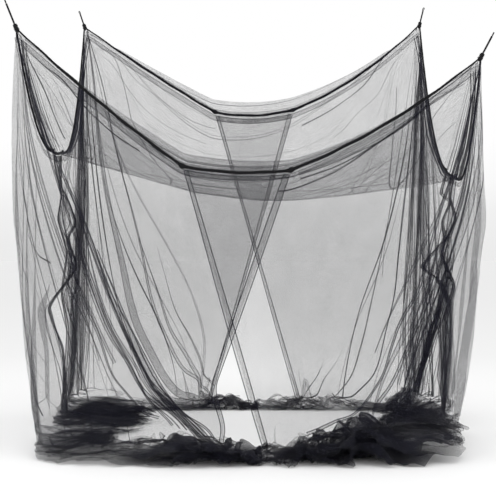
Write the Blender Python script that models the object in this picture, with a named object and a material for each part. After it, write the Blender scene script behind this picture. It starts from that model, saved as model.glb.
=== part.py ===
"""A four-corner mosquito net canopy as it hangs over a bed, its spare length heaped on the floor.

Metres, +Z up, x to the right, y away from the front. The net hangs by a short cord at each of
its four corners. A binding tape runs along each sagging top edge, the roof sheet hangs inside
it, and each of the four curtains is sewn under it from the middle of one side, round a corner,
to the middle of the next side.
"""

import math
from collections import namedtuple

import bmesh
import bpy
from mathutils import Vector
from mathutils.bvhtree import BVHTree

# ---- driving dimensions ---------------------------------------------------------------------

SHEET = 0.002  # thickness of one layer of net
HEM_WIDTH = 0.032
HEM_SWELL = 1.7  # the folded hem against one layer
TAPE_HEIGHT = 0.018
TAPE_WIDTH = 0.009
TACK_SWELL = 1.3  # the tape where a hem is tacked under it
TAPE_END = 0.6  # the tape's height at its ends, of its whole height
TAPE_END_GAP = 0.0008
PROBES = (-1.0, -0.5, 0.0, 0.5, 1.0)  # where the knot is felt for across the tape's end
SEAM_GAP = 0.0005  # between the tape and the cloth that it holds
OVERLAP_OFFSET = 0.0026  # each of two overlapping curtains from the tape's middle
KNOT_RADIUS = 0.013
KNOT_LENGTH = 0.019  # half length
KNOT_TWIST = 0.10  # how far its twisted turns stand in and out
KNOT_GAP = 0.0003
CORD_DIAMETER = 0.005
CORD_STEPS = 8
LOOP_RADIUS = 0.0065
LOOP_WIRE = 0.0022

# The plan centre of the finished net in the frame in which its corners were placed.
CENTRE_X = 0.0209
CENTRE_Y = -0.0581

Corner = namedtuple("Corner", "x y z cord_x cord_y cord_z")
CORNERS = {
    "front_left": Corner(-0.898, -0.712, 1.673, -0.0406, -0.012, 0.104),
    "front_right": Corner(0.902, -0.712, 1.561, 0.0465, -0.012, 0.090),
    "back_left": Corner(-0.836, 0.712, 1.949, -0.028, 0.012, 0.080),
    "back_right": Corner(0.877, 0.712, 1.959, 0.023, 0.012, 0.088),
}

# Where the hems are tacked to each side's tape, and how far each stretch of the tape sags.
Side = namedtuple("Side", "first last tack_a tack_b sags steps outward")
SIDES = {
    "front": Side(
        "front_left", "front_right",
        (-0.2555, -0.700, 1.139), (0.166, -0.700, 1.124),
        (0.019, 0.017, 0.040), (8, 4, 8), (0.0, -1.0),
    ),
    "back": Side(
        "back_left", "back_right",
        (-0.169, 0.700, 1.512), (0.230, 0.700, 1.524),
        (0.011, 0.023, 0.048), (8, 4, 8), (0.0, 1.0),
    ),
    "left": Side(
        "front_left", "back_left",
        (-0.858, -0.100, 1.246), (-0.852, 0.120, 1.262),
        (0.120, 0.010, 0.190), (7, 2, 7), (-1.0, 0.0),
    ),
    "right": Side(
        "front_right", "back_right",
        (0.915, -0.100, 1.136), (0.910, 0.120, 1.176),
        (0.165, 0.010, 0.150), (7, 2, 7), (1.0, 0.0),
    ),
}

# The roof's lowest line runs from the left tape to the right tape at mid depth.
VALLEY_Y = -0.02
VALLEY_Z = 1.045
VALLEY_X = 0.07
VALLEY_LEFT = 1.25  # how steeply the line curves up to each side
VALLEY_RIGHT = 1.6
ROOF_HUMP = {"front": 0.085, "back": 0.145}  # the fullness that puffs up just inside the tape
ROOF_HUMP_WIDTH = 0.15  # of the roof's depth
ROOF_CORNER_IN = 0.030
ROOF_CORNER_DOWN = 0.040
ROOF_EDGE_BLEND = 0.12  # of the roof's width, over which the humps die out at its sides
CURTAIN_CORNER_DOWN = 0.031  # how far under the corner a curtain's top starts

# One row for each place along a curtain's top edge: where its threads land on the floor and how
# strongly they sweep there, the height of the heap that the spare length makes, how far the heap
# slips sideways, its inner rim, and its toe outside the foot.
Foot = namedtuple("Foot", "along x y sweep height slip inner_x inner_y toe")
Curtain = namedtuple("Curtain", "route start_lean end_lean folds feet")
CURTAINS = {
    "front_right": Curtain(
        (("front", 8, 20), ("right", 0, 9)), 1, -1, 10,
        (
            Foot(0.00, 0.062, -0.735, 1.0, 0.055, -0.01, 0.090, -0.650, 0.080),
            Foot(0.12, 0.170, -0.740, 1.1, 0.060, 0.00, 0.200, -0.600, 0.110),
            Foot(0.26, 0.350, -0.745, 1.5, 0.110, 0.00, 0.360, -0.480, 0.120),
            Foot(0.42, 0.580, -0.740, 2.0, 0.145, 0.00, 0.490, -0.330, 0.115),
            Foot(0.55, 0.800, -0.690, 2.4, 0.150, 0.00, 0.570, -0.230, 0.090),
            Foot(0.70, 0.850, -0.440, 2.2, 0.145, 0.00, 0.600, -0.120, 0.050),
            Foot(0.86, 0.880, -0.220, 1.6, 0.120, 0.00, 0.630, -0.040, 0.040),
            Foot(1.00, 0.885, -0.040, 1.2, 0.090, 0.00, 0.700, 0.010, 0.040),
        ),
    ),
    "back_right": Curtain(
        (("back", 8, 20), ("right", 16, 7)), -1, 1, 10,
        (
            Foot(0.00, 0.250, 0.705, 1.0, 0.060, -0.18, 0.250, 0.640, 0.050),
            Foot(0.16, 0.370, 0.705, 1.2, 0.062, -0.10, 0.370, 0.630, 0.055),
            Foot(0.32, 0.550, 0.700, 1.8, 0.060, 0.00, 0.540, 0.610, 0.055),
            Foot(0.48, 0.820, 0.670, 2.2, 0.090, 0.00, 0.720, 0.520, 0.050),
            Foot(0.62, 0.895, 0.470, 1.8, 0.110, 0.00, 0.690, 0.380, 0.040),
            Foot(0.80, 0.900, 0.270, 1.6, 0.110, 0.00, 0.680, 0.250, 0.040),
            Foot(1.00, 0.895, 0.110, 1.2, 0.090, 0.00, 0.710, 0.120, 0.040),
        ),
    ),
    "back_left": Curtain(
        (("back", 12, 0), ("left", 16, 7)), 1, -1, 10,
        (
            Foot(0.00, -0.190, 0.705, 1.0, 0.065, 0.20, -0.190, 0.640, 0.050),
            Foot(0.16, -0.310, 0.705, 1.4, 0.065, 0.10, -0.310, 0.630, 0.055),
            Foot(0.32, -0.500, 0.700, 2.0, 0.060, 0.00, -0.470, 0.600, 0.055),
            Foot(0.48, -0.790, 0.680, 2.4, 0.105, 0.00, -0.560, 0.480, 0.050),
            Foot(0.62, -0.865, 0.480, 2.0, 0.135, 0.00, -0.500, 0.340, 0.040),
            Foot(0.82, -0.870, 0.260, 1.6, 0.130, 0.00, -0.440, 0.200, 0.040),
            Foot(1.00, -0.865, 0.100, 1.2, 0.110, 0.00, -0.520, 0.080, 0.040),
        ),
    ),
    "front_left": Curtain(
        (("front", 12, 0), ("left", 0, 9)), -1, 1, 10,
        (
            Foot(0.00, -0.205, -0.735, 1.0, 0.070, 0.20, -0.205, -0.640, 0.100),
            Foot(0.14, -0.320, -0.745, 1.2, 0.080, 0.12, -0.320, -0.610, 0.130),
            Foot(0.30, -0.500, -0.750, 1.8, 0.060, 0.00, -0.460, -0.540, 0.090),
            Foot(0.44, -0.680, -0.745, 2.2, 0.055, 0.00, -0.570, -0.470, 0.080),
            Foot(0.57, -0.800, -0.700, 2.6, 0.060, 0.00, -0.640, -0.390, 0.070),
            Foot(0.72, -0.850, -0.460, 2.0, 0.075, 0.00, -0.620, -0.280, 0.050),
            Foot(0.87, -0.870, -0.220, 1.6, 0.100, 0.00, -0.570, -0.130, 0.040),
            Foot(1.00, -0.865, -0.040, 1.2, 0.110, 0.00, -0.560, -0.010, 0.040),
        ),
    ),
}

PLEAT_SHARE = 0.85  # of the spare width that the main folds take up
MOST_PLEAT = 0.042  # half the depth of the deepest fold
LEAST_SPARE = 0.05  # the spare width where the tape lies straight
UNEVEN_DEPTH = 0.38  # how much one fold's depth differs from the next one's
UNEVEN_PITCH = 1.1  # how far the folds stray from even places, in radians of a fold
HANG_ROWS = (0.0, 0.05, 0.20, 0.40, 0.60, 0.80, 0.93)  # shares of the way down
HEAP_LAYERS = 3
LANDING_CALM = 0.5  # how much shallower the folds are where they land in the heap
LANDING_SLIP = 0.3  # how much of the heap's slip has happened there
SLIP_FROM = -0.4  # the slip goes on from here to there, in shares of the heap's height
SLIP_TO = 0.6
HEAP_SLOPE = 0.35  # how much lower the heap is at its inner rim
HEAP_CRUMPLE = 0.12  # how much the rim wavers, of its reach
MOST_WAVER = 0.030
HEAP_LUMP = 0.08  # how much the height wavers
LUMP_PITCH = 0.7  # how many lumps there are to a main fold
LAYER_SHIFT = 0.010  # how far one layer's waves are from the next one's, of the curtain's width
# One row for each bend of a layer: how far it is towards the rim or toe, and down the layer.
Bend = namedtuple("Bend", "reach drop")
LAYER_BENDS = (Bend(0.45, 0.12), Bend(1.0, 0.26), Bend(1.0, 0.90))

Finish = namedtuple("Finish", "colour roughness")
FINISHES = {
    "net": Finish((0.020, 0.020, 0.024), 0.85),
    "tape": Finish((0.008, 0.008, 0.010), 0.70),
    "cord": Finish((0.010, 0.010, 0.011), 0.60),
}


# ---- small helpers --------------------------------------------------------------------------

def clear_scene():
    """Removes every object that the file opened with."""
    for old in list(bpy.data.objects):
        bpy.data.objects.remove(old, do_unlink=True)


def finish_material(name):
    """The material of this name, made once."""
    if name in bpy.data.materials:
        return bpy.data.materials[name]
    finish = FINISHES[name]
    material = bpy.data.materials.new(name)
    material.use_nodes = True
    shader = material.node_tree.nodes["Principled BSDF"]
    shader.inputs["Base Color"].default_value = (*finish.colour, 1.0)
    shader.inputs["Roughness"].default_value = finish.roughness
    shader.inputs["Metallic"].default_value = 0.0
    return material


def smooth_step(value, low, high):
    """0 under low, 1 over high and an even curve between them."""
    share = min(max((value - low) / (high - low), 0.0), 1.0)
    return share * share * (3.0 - 2.0 * share)


def read_table(rows, along):
    """A row read from a table at any place, on a smooth curve through the table's rows."""
    last = len(rows) - 2
    at = max(i for i in range(last + 1) if rows[i].along <= along or i == 0)
    low, high = rows[at], rows[at + 1]
    before, after = rows[max(at - 1, 0)], rows[min(at + 2, last + 1)]
    width = high.along - low.along
    share = (along - low.along) / width
    values = []
    for name in range(len(low)):
        rise_low = (high[name] - before[name]) / (high.along - before.along) * width
        rise_high = (after[name] - low[name]) / (after.along - low.along) * width
        s2, s3 = share * share, share ** 3
        values.append(
            low[name] * (2 * s3 - 3 * s2 + 1)
            + rise_low * (s3 - 2 * s2 + share)
            + high[name] * (3 * s2 - 2 * s3)
            + rise_high * (s3 - s2)
        )
    return type(low)(*values)


def add_object(name, mesh, material):
    """Links a mesh as an object of this name with its material, smoothly shaded."""
    mesh.materials.append(finish_material(material))
    mesh.shade_smooth()
    thing = bpy.data.objects.new(name, mesh)
    bpy.context.scene.collection.objects.link(thing)
    return thing


def grid_mesh(name, rows):
    """A mesh of quads through rows of points."""
    bm = bmesh.new()
    grid = [[bm.verts.new(point) for point in row] for row in rows]
    for upper, lower in zip(grid, grid[1:]):
        for a, b, c, d in zip(upper, upper[1:], lower[1:], lower):
            bm.faces.new((a, d, c, b))
    mesh = bpy.data.meshes.new(name)
    bm.to_mesh(mesh)
    bm.free()
    return mesh


def cloth_object(name, rows, hemmed=()):
    """A sheet of net through rows of points, with its thickness. The columns in hemmed are the
    folded hems, which are thicker."""
    thing = add_object(name, grid_mesh(name, rows), "net")
    group = thing.vertex_groups.new(name="layers")
    columns = len(rows[0])
    for number in range(len(thing.data.vertices)):
        weight = 1.0 if number % columns in hemmed else 1.0 / HEM_SWELL
        group.add([number], weight, "REPLACE")
    layer = thing.modifiers.new("layer", "SOLIDIFY")
    layer.thickness = SHEET * HEM_SWELL
    layer.offset = 0.0
    layer.vertex_group = group.name
    layer.use_rim = True
    return thing


# ---- the top edges --------------------------------------------------------------------------

def corner_point(name):
    """Where the tapes of two sides meet."""
    corner = CORNERS[name]
    return Vector((corner.x - CENTRE_X, corner.y - CENTRE_Y, corner.z))


def stretch(start, end, sag, steps):
    """Points on a stretch of tape that sags between its two ends. The first one is left out."""
    points = []
    for step in range(1, steps + 1):
        share = step / steps
        point = start.lerp(end, share)
        point.z -= 4.0 * sag * share * (1.0 - share)
        points.append(point)
    return points


def edge_stations(name):
    """The middle of a side's tape, from its first corner to its last."""
    side = SIDES[name]
    shift = Vector((CENTRE_X, CENTRE_Y, 0.0))
    stops = [
        corner_point(side.first),
        Vector(side.tack_a) - shift,
        Vector(side.tack_b) - shift,
        corner_point(side.last),
    ]
    points = [stops[0]]
    for start, end, sag, steps in zip(stops, stops[1:], side.sags, side.steps):
        points += stretch(start, end, sag, steps)
    return points


def outward(name):
    """The way out of the net across a side."""
    return Vector((*SIDES[name].outward, 0.0))


def edge_frames(name):
    """Each station of a side's tape, with the direction down across the tape there."""
    points = edge_stations(name)
    out = outward(name)
    frames = []
    for number, point in enumerate(points):
        before = points[max(number - 1, 0)]
        after = points[min(number + 1, len(points) - 1)]
        along = (after - before).normalized()
        down = along.cross(out).normalized()
        if down.z > 0.0:
            down.negate()
        frames.append((point, down))
    return frames


# ---- binding, knots and cords ---------------------------------------------------------------

def tape_end(knot, corner, way, out, down):
    """Where a tape that leaves a corner this way starts, so that its end just clears the knot."""
    reach = 0.0
    for across in PROBES:
        for along in PROBES:
            off = out * across * TAPE_WIDTH * 0.5 + down * along * TAPE_HEIGHT * TAPE_END * 0.5
            hit, _, _, far = knot.ray_cast(corner + off + way * KNOT_LENGTH * 2.0, -way)
            if hit is not None:
                reach = max(reach, KNOT_LENGTH * 2.0 - far)
    return corner + way * (reach + TAPE_END_GAP)


def build_binding(side_name, knots):
    """The tape folded over one side's seam, from knot to knot."""
    side = SIDES[side_name]
    frames = edge_frames(side_name)
    out = outward(side_name)
    tacks = (side.steps[0], side.steps[0] + side.steps[1])
    rings = []
    for number, (point, down) in enumerate(frames):
        tall = TAPE_HEIGHT
        if number in tacks:
            tall *= TACK_SWELL
        if number in (0, len(frames) - 1):
            other = frames[1][0] if number == 0 else frames[-2][0]
            knot = knots[side.first if number == 0 else side.last]
            point = tape_end(knot, point, (other - point).normalized(), out, down)
            tall *= TAPE_END
        top = point - down * tall * 0.5
        low = point + down * TAPE_HEIGHT * 0.5
        if number in (0, len(frames) - 1):
            low = point + down * tall * 0.5
        half = out * TAPE_WIDTH * 0.5
        rings.append((top + half, top - half, low - half, low + half))
    bm = bmesh.new()
    loops = [[bm.verts.new(point) for point in ring] for ring in rings]
    for ring, following in zip(loops, loops[1:]):
        for a, b, c, d in zip(ring, ring[1:] + ring[:1], following[1:] + following[:1], following):
            bm.faces.new((a, b, c, d))
    bm.faces.new(loops[0][::-1])
    bm.faces.new(loops[-1])
    bmesh.ops.recalc_face_normals(bm, faces=bm.faces)
    mesh = bpy.data.meshes.new("binding_" + side_name)
    bm.to_mesh(mesh)
    bm.free()
    thing = add_object("binding_" + side_name, mesh, "tape")
    thing.data.set_sharp_from_angle(angle=math.radians(40))


def cord_way(corner_name):
    """The direction in which a corner's cord leaves its knot, and the cord's length."""
    corner = CORNERS[corner_name]
    way = Vector((corner.cord_x, corner.cord_y, corner.cord_z))
    return way.normalized(), way.length


def build_knot(corner_name):
    """The tied knot at one corner, a rounded bead that points along its cord. Returns its
    surface, for the tapes that end at it."""
    way, _ = cord_way(corner_name)
    turned = way.to_track_quat("Z", "Y")
    bm = bmesh.new()
    bmesh.ops.create_uvsphere(bm, u_segments=10, v_segments=7, radius=1.0)
    for vert in bm.verts:
        turn = math.atan2(vert.co.y, vert.co.x)
        waist = 1.0 - KNOT_TWIST * math.cos(6.0 * vert.co.z + turn)
        vert.co.x *= KNOT_RADIUS * waist
        vert.co.y *= KNOT_RADIUS * waist
        vert.co.z *= KNOT_LENGTH
        vert.co = corner_point(corner_name) + turned @ vert.co
    surface = BVHTree.FromBMesh(bm)
    mesh = bpy.data.meshes.new("knot_" + corner_name)
    bm.to_mesh(mesh)
    bm.free()
    add_object("knot_" + corner_name, mesh, "cord")
    return surface


def cord_route(corner_name):
    """The cord's own points, from the top of its knot to the foot of its loop."""
    way, length = cord_way(corner_name)
    start = corner_point(corner_name) + way * (KNOT_LENGTH + KNOT_GAP)
    end = corner_point(corner_name) + way * (length - 2.0 * LOOP_RADIUS)
    return [start.lerp(end, step / CORD_STEPS) for step in range(CORD_STEPS + 1)]


def build_cord(corner_name):
    """The short cord that holds one corner up."""
    route = cord_route(corner_name)
    curve = bpy.data.curves.new("cord_" + corner_name, "CURVE")
    curve.dimensions = "3D"
    curve.bevel_depth = CORD_DIAMETER * 0.5
    curve.bevel_resolution = 2
    curve.use_fill_caps = True
    spline = curve.splines.new("POLY")
    spline.points.add(len(route) - 1)
    for point, place in zip(spline.points, route):
        point.co = (*place, 1.0)
    curve.materials.append(finish_material("cord"))
    thing = bpy.data.objects.new("cord_" + corner_name, curve)
    bpy.context.scene.collection.objects.link(thing)


def build_loop(corner_name):
    """The small loop at the top of one cord, which goes over its hook."""
    way, length = cord_way(corner_name)
    rings, sides = 12, 6
    bm = bmesh.new()
    loops = []
    for ring in range(rings):
        turn = 2.0 * math.pi * ring / rings
        middle = Vector((math.cos(turn), 0.0, math.sin(turn)))
        loop = []
        for side in range(sides):
            round_wire = 2.0 * math.pi * side / sides
            off = middle * math.cos(round_wire) + Vector((0.0, 1.0, 0.0)) * math.sin(round_wire)
            loop.append(bm.verts.new(middle * LOOP_RADIUS + off * LOOP_WIRE))
        loops.append(loop)
    for loop, following in zip(loops, loops[1:] + loops[:1]):
        for a, b, c, d in zip(loop, loop[1:] + loop[:1], following[1:] + following[:1], following):
            bm.faces.new((a, b, c, d))
    bmesh.ops.recalc_face_normals(bm, faces=bm.faces)
    mesh = bpy.data.meshes.new("loop_" + corner_name)
    bm.to_mesh(mesh)
    bm.free()
    thing = add_object("loop_" + corner_name, mesh, "cord")
    reach = length - LOOP_RADIUS + LOOP_WIRE + KNOT_GAP
    thing.location = corner_point(corner_name) + way * reach
    thing.rotation_mode = "QUATERNION"
    thing.rotation_quaternion = way.to_track_quat("Z", "Y")


# ---- roof -----------------------------------------------------------------------------------

def roof_edge(name):
    """The roof's own edge along a side's tape, drawn in round the knots at its ends."""
    side = SIDES[name]
    out = outward(name)
    inset = TAPE_WIDTH * 0.5 + SEAM_GAP + SHEET * 0.5
    frames = edge_frames(name)
    points = [point - out * inset for point, _ in frames]
    for end, corner_name in ((0, side.first), (len(points) - 1, side.last)):
        corner = corner_point(corner_name)
        inner = Vector((
            corner.x - math.copysign(ROOF_CORNER_IN, corner.x),
            corner.y - math.copysign(ROOF_CORNER_IN, corner.y),
            corner.z - ROOF_CORNER_DOWN,
        ))
        points[end] = inner
    return points


def valley_height(across):
    """The height of the roof's lowest line at a place across the roof, from 0 to 1."""
    left = Vector(SIDES["left"].tack_a).z - SIDES["left"].sags[1]
    right = Vector(SIDES["right"].tack_a).z - SIDES["right"].sags[1]
    width = CORNERS["front_right"].x - CORNERS["front_left"].x
    low_at = (VALLEY_X - CORNERS["front_left"].x) / width
    if across < low_at:
        return VALLEY_Z + (left - VALLEY_Z) * ((low_at - across) / low_at) ** VALLEY_LEFT
    return VALLEY_Z + (right - VALLEY_Z) * ((across - low_at) / (1.0 - low_at)) ** VALLEY_RIGHT


def sagging_line(first, last, across, deep):
    """A point on the line that sags from the front tape to the back one, over the valley. It is
    the parabola through three points at 0, a half and 1 of the depth."""
    middle = first.lerp(last, 0.5)
    middle.y += VALLEY_Y
    middle.z = valley_height(across)
    return (
        first * (2.0 * (deep - 0.5) * (deep - 1.0))
        + middle * (4.0 * deep * (1.0 - deep))
        + last * (2.0 * deep * (deep - 0.5))
    )


def roof_rows():
    """Rows of points on the roof from the front edge to the back one."""
    front, back = roof_edge("front"), roof_edge("back")
    left, right = roof_edge("left"), roof_edge("right")
    columns, lines = len(front), len(left)
    rows = []
    for line in range(lines):
        deep = line / (lines - 1)
        left_line = sagging_line(front[0], back[0], 0.0, deep)
        right_line = sagging_line(front[-1], back[-1], 1.0, deep)
        row = []
        for column in range(columns):
            across = column / (columns - 1)
            point = sagging_line(front[column], back[column], across, deep)
            point += (left[line] - left_line) * (1.0 - across) ** 3
            point += (right[line] - right_line) * across ** 3
            inner = smooth_step(min(across, 1.0 - across), 0.0, ROOF_EDGE_BLEND)
            for side_name, away in (("front", deep), ("back", 1.0 - deep)):
                puff = math.sin(math.pi * min(away / ROOF_HUMP_WIDTH, 1.0))
                point.z += ROOF_HUMP[side_name] * puff * inner
            row.append(point)
        rows.append(row)
    return rows


# ---- curtains -------------------------------------------------------------------------------

def curtain_top(curtain):
    """The curtain's top edge just under the tape: its points, each one's way out of the net and
    its share of the whole length. A column is added halfway between two stations and beside
    each hem."""
    places, ways = [], []
    for side_name, start, stop in curtain.route:
        frames = edge_frames(side_name)
        step = 1 if stop >= start else -1
        out = outward(side_name)
        for number in range(start, stop + step, step):
            point, down = frames[number]
            under = point + down * (TAPE_HEIGHT * 0.5 + SEAM_GAP)
            if number in (0, len(frames) - 1):
                under = point - Vector((0.0, 0.0, CURTAIN_CORNER_DOWN))
            if places and number == start:
                ways[-1] = (ways[-1] + out).normalized()
                continue
            places.append(under)
            ways.append(out)
    fine_places, fine_ways = [places[0]], [ways[0]]
    for a, b, way_a, way_b in zip(places, places[1:], ways, ways[1:]):
        shares = [0.5, 1.0]
        if b is places[1]:
            shares = [HEM_WIDTH / (b - a).length] + shares
        if b is places[-1]:
            shares = [0.5, 1.0 - HEM_WIDTH / (b - a).length, 1.0]
        for share in sorted(shares):
            fine_places.append(a.lerp(b, share))
            fine_ways.append((way_a * (1.0 - share) + way_b * share).normalized())
    lengths = [0.0]
    for a, b in zip(fine_places, fine_places[1:]):
        lengths.append(lengths[-1] + (b - a).length)
    return fine_places, fine_ways, lengths


def main_wave(curtain, along):
    """The main folds across a curtain, uneven, from -1 to 1."""
    turn = 2.0 * math.pi * curtain.folds * along
    depth = 1.0 - UNEVEN_DEPTH + UNEVEN_DEPTH * math.sin(11.0 * along + 2.0 * curtain.start_lean)
    return math.sin(turn + UNEVEN_PITCH * math.sin(9.0 * along + curtain.end_lean)) * depth


def curtain_rows(curtain):
    """Rows of points on a curtain, down to the floor and back and forth in its heap."""
    places, ways, lengths = curtain_top(curtain)
    whole = lengths[-1]
    rows = []
    shares = [length / whole for length in lengths]
    feet = [read_table(curtain.feet, share) for share in shares]
    lean = [
        curtain.start_lean * (1.0 - smooth_step(share, 0.25, 0.50))
        + curtain.end_lean * smooth_step(share, 0.60, 0.80)
        for share in shares
    ]
    for down in HANG_ROWS + (1.0,):
        plain = []
        for place, foot in zip(places, feet):
            swept = down ** foot.sweep
            slip = foot.slip * LANDING_SLIP * smooth_step(down, 0.9, 1.0)
            plain.append(Vector((
                place.x + (foot.x - CENTRE_X - place.x) * swept + slip,
                place.y + (foot.y - CENTRE_Y - place.y) * swept,
                place.z + (foot.height - place.z) * down,
            )))
        row = []
        for number, point in enumerate(plain):
            low, high = max(number - 1, 0), min(number + 1, len(plain) - 1)
            flat = plain[high] - plain[low]
            flat.z = 0.0
            spare = (lengths[high] - lengths[low]) / max(flat.length, 1e-4)
            pitch = whole / curtain.folds / spare
            depth = pitch / math.pi * math.sqrt(max(spare - 1.0, LEAST_SPARE)) * PLEAT_SHARE
            depth = min(depth, MOST_PLEAT) * smooth_step(down, 0.0, 0.75)
            depth *= 1.0 - LANDING_CALM * smooth_step(down, 0.9, 1.0)
            wave = main_wave(curtain, shares[number])
            side = OVERLAP_OFFSET * lean[number] + depth * (wave + lean[number])
            row.append(point + ways[number] * side)
        rows.append(row)
    for layer in range(HEAP_LAYERS):
        for bend in LAYER_BENDS:
            share = (layer + bend.drop) / (HEAP_LAYERS - 1.0 + LAYER_BENDS[-1].drop)
            row = []
            for number, foot in enumerate(feet):
                rim = Vector((foot.inner_x - foot.x, foot.inner_y - foot.y, 0.0))
                reach = bend.reach * (rim.length if layer % 2 == 0 else -foot.toe)
                waver = min(HEAP_CRUMPLE * abs(reach), MOST_WAVER)
                reach += waver * main_wave(curtain, shares[number] + LAYER_SHIFT * layer)
                spot = Vector((foot.x - CENTRE_X, foot.y - CENTRE_Y, 0.0))
                spot += rim.normalized() * reach
                spot.x += foot.slip * smooth_step(share, SLIP_FROM, SLIP_TO)
                lowered = 1.0 - HEAP_SLOPE * max(reach, 0.0) / rim.length
                lump = 1.0 + HEAP_LUMP * main_wave(curtain, LUMP_PITCH * shares[number])
                spot.z = foot.height * (1.0 - share) * lowered * lump + SHEET * HEM_SWELL * 0.5
                row.append(spot)
            rows.append(row)
    return rows


def settle(thing, first):
    """Lets the heap down onto the floor: every point from this number on is in the heap."""
    layered = thing.evaluated_get(bpy.context.evaluated_depsgraph_get()).to_mesh()
    lowest = min(vert.co.z for vert in layered.vertices)
    for vert in thing.data.vertices[first:]:
        vert.co.z -= lowest


def build_curtain(name):
    """One curtain panel, round one corner, with its heap on the floor."""
    curtain = CURTAINS[name]
    rows = curtain_rows(curtain)
    last = len(rows[0]) - 1
    thing = cloth_object("curtain_" + name, rows, hemmed=(0, 1, last - 1, last))
    settle(thing, len(rows[0]) * (len(HANG_ROWS) + 1))


def main():
    """Builds every piece."""
    clear_scene()
    knots = {}
    for corner_name in CORNERS:
        knots[corner_name] = build_knot(corner_name)
        build_cord(corner_name)
        build_loop(corner_name)
    for side_name in SIDES:
        build_binding(side_name, knots)
    cloth_object("roof", roof_rows())
    for name in CURTAINS:
        build_curtain(name)


main()
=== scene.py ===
"""Look of a black four-corner mosquito net canopy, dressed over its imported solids.

Metres, +Z up, x to the right, y away from the front. Each sheet of net follows the folds of the
solid that it stands for, and adds the fine gathers, pressed tucks, folded hems and crumples that
the solid leaves out.
"""

import logging
import math
from dataclasses import dataclass, field
from enum import Enum
from typing import Dict, List, Optional, Sequence, Tuple, Union

import bmesh
import bpy
import numpy as np
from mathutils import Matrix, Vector

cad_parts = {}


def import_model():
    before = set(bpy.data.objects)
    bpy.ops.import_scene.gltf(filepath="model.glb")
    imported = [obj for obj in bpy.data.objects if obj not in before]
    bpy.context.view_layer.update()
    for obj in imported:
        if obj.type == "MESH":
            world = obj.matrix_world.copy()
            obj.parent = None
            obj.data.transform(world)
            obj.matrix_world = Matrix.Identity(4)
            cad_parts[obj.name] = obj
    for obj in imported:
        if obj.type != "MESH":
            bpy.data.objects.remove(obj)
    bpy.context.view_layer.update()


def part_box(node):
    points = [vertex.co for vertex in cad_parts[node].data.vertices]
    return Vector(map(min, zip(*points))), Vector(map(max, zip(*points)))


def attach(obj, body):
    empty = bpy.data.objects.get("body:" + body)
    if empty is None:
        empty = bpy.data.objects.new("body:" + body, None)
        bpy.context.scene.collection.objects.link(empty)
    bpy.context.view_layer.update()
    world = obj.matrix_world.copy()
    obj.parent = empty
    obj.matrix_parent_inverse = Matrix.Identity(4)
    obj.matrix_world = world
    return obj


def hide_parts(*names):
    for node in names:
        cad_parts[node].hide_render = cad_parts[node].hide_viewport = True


log = logging.getLogger("net")

Point = Tuple[float, float, float]
Input = Union[float, Sequence[float], bpy.types.NodeSocket]

# ---- the canopy's own places ----------------------------------------------------------------

CENTRE_X = 0.0209
CENTRE_Y = -0.0581
TAPE_HEIGHT = 0.018
TAPE_WIDTH = 0.009
KNOT_RADIUS = 0.013
KNOT_LENGTH = 0.019
KNOT_GAP = 0.0003
CORD_DIAMETER = 0.0075
LOOP_RADIUS = 0.0065
LOOP_WIRE = 0.0022

# ---- the picture's own view, before centring -------------------------------------------------

EYE = (0.0, -5.149, 0.829)
LENS = 1146.0
SENSOR = 36.0
FRAME_WIDTH = 496.0
FRAME_MIDDLE = (248.0, 246.0)

# ---- how a curtain hangs and lies ------------------------------------------------------------

EDGE_POINTS = 12  # points of its edge to one station of the tape
TUCK = 0.004  # how far up inside the tape its edge lies
KNOT_DROP = 0.014  # how far below the tape's middle its edge lies at a knot
KNOT_SPAN = 0.07  # how far from a knot its edge drops
SWING_FROM = 0.78  # how far down it starts to swing sideways
BULGE_SPAN = 0.13  # how far from the corner it bulges, as a share of its width
GATHER_SPAN = 0.16  # how far from the corner its fine folds are deepest
GATHER_DEPTH = 0.0040  # how deep those are
SPARE_COLUMNS = 240  # columns at which its spare width is measured
PLEAT_SHARE = 0.85  # how much of its spare width the main folds take up
LEAST_SPARE = 0.05  # the least spare width that counts
HEAP_WAVER = 0.034  # how far the turns of its heap waver at the most
HEAP_LUMPS = (0.20, 0.016, 0.026)  # size of its heap's lumps, their depth and their height
HEAP_FOLDS = (0.13, 0.013, 0.016)  # the same for its loose folds
HEAP_CRUMPLES = (0.055, 0.0030, 0.0030)  # the same for its sharp crumples
FLOOR_GAP = 0.002  # how far above the floor it stays
HEAP_CORE = 0.36  # how wide its heap's densest part is, as a share of the heap
HEAP_PATCHES = (0.11, 0.45)  # size of its heap's darker patches and how much they vary
LEAST_PLIES = 0.12  # how thin it gets where its heap thins out
FAN_WIDTHS = (0.003, 0.006, 0.012, 0.022)  # widths of the fine creases from its corner
FAN_SHARES = (0.35, 0.30, 0.22, 0.13)  # how often each of those comes
WISP_WIDTHS = (0.004, 0.009, 0.018)  # widths of the twisted folds on its heap
WISP_SHARES = (0.45, 0.35, 0.20)  # how often each of those comes
OUTER_ROOM = 0.014  # how far its crumples may leave the solid's box
INNER_ROOM = 0.050  # how much further they may on the canopy's inside


class Held(Enum):
    """How a sheet of net is held."""

    HUNG = "hung"
    GATHERED = "gathered"


@dataclass(frozen=True)
class Corner:
    """One corner of the canopy and the run of its cord.

    Args:
        x: Place across, before centring.
        y: Place in depth, before centring.
        z: Height above the floor.
        cord: Run of the cord from the corner to its hook.
    """

    x: float
    y: float
    z: float
    cord: Point

    def spot(self) -> Vector:
        """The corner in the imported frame."""
        return Vector((self.x - CENTRE_X, self.y - CENTRE_Y, self.z))

    def way(self) -> Vector:
        """The direction in which the cord leaves."""
        return Vector(self.cord).normalized()

    def reach(self) -> float:
        """The length from the corner to the cord's end."""
        return Vector(self.cord).length


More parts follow.
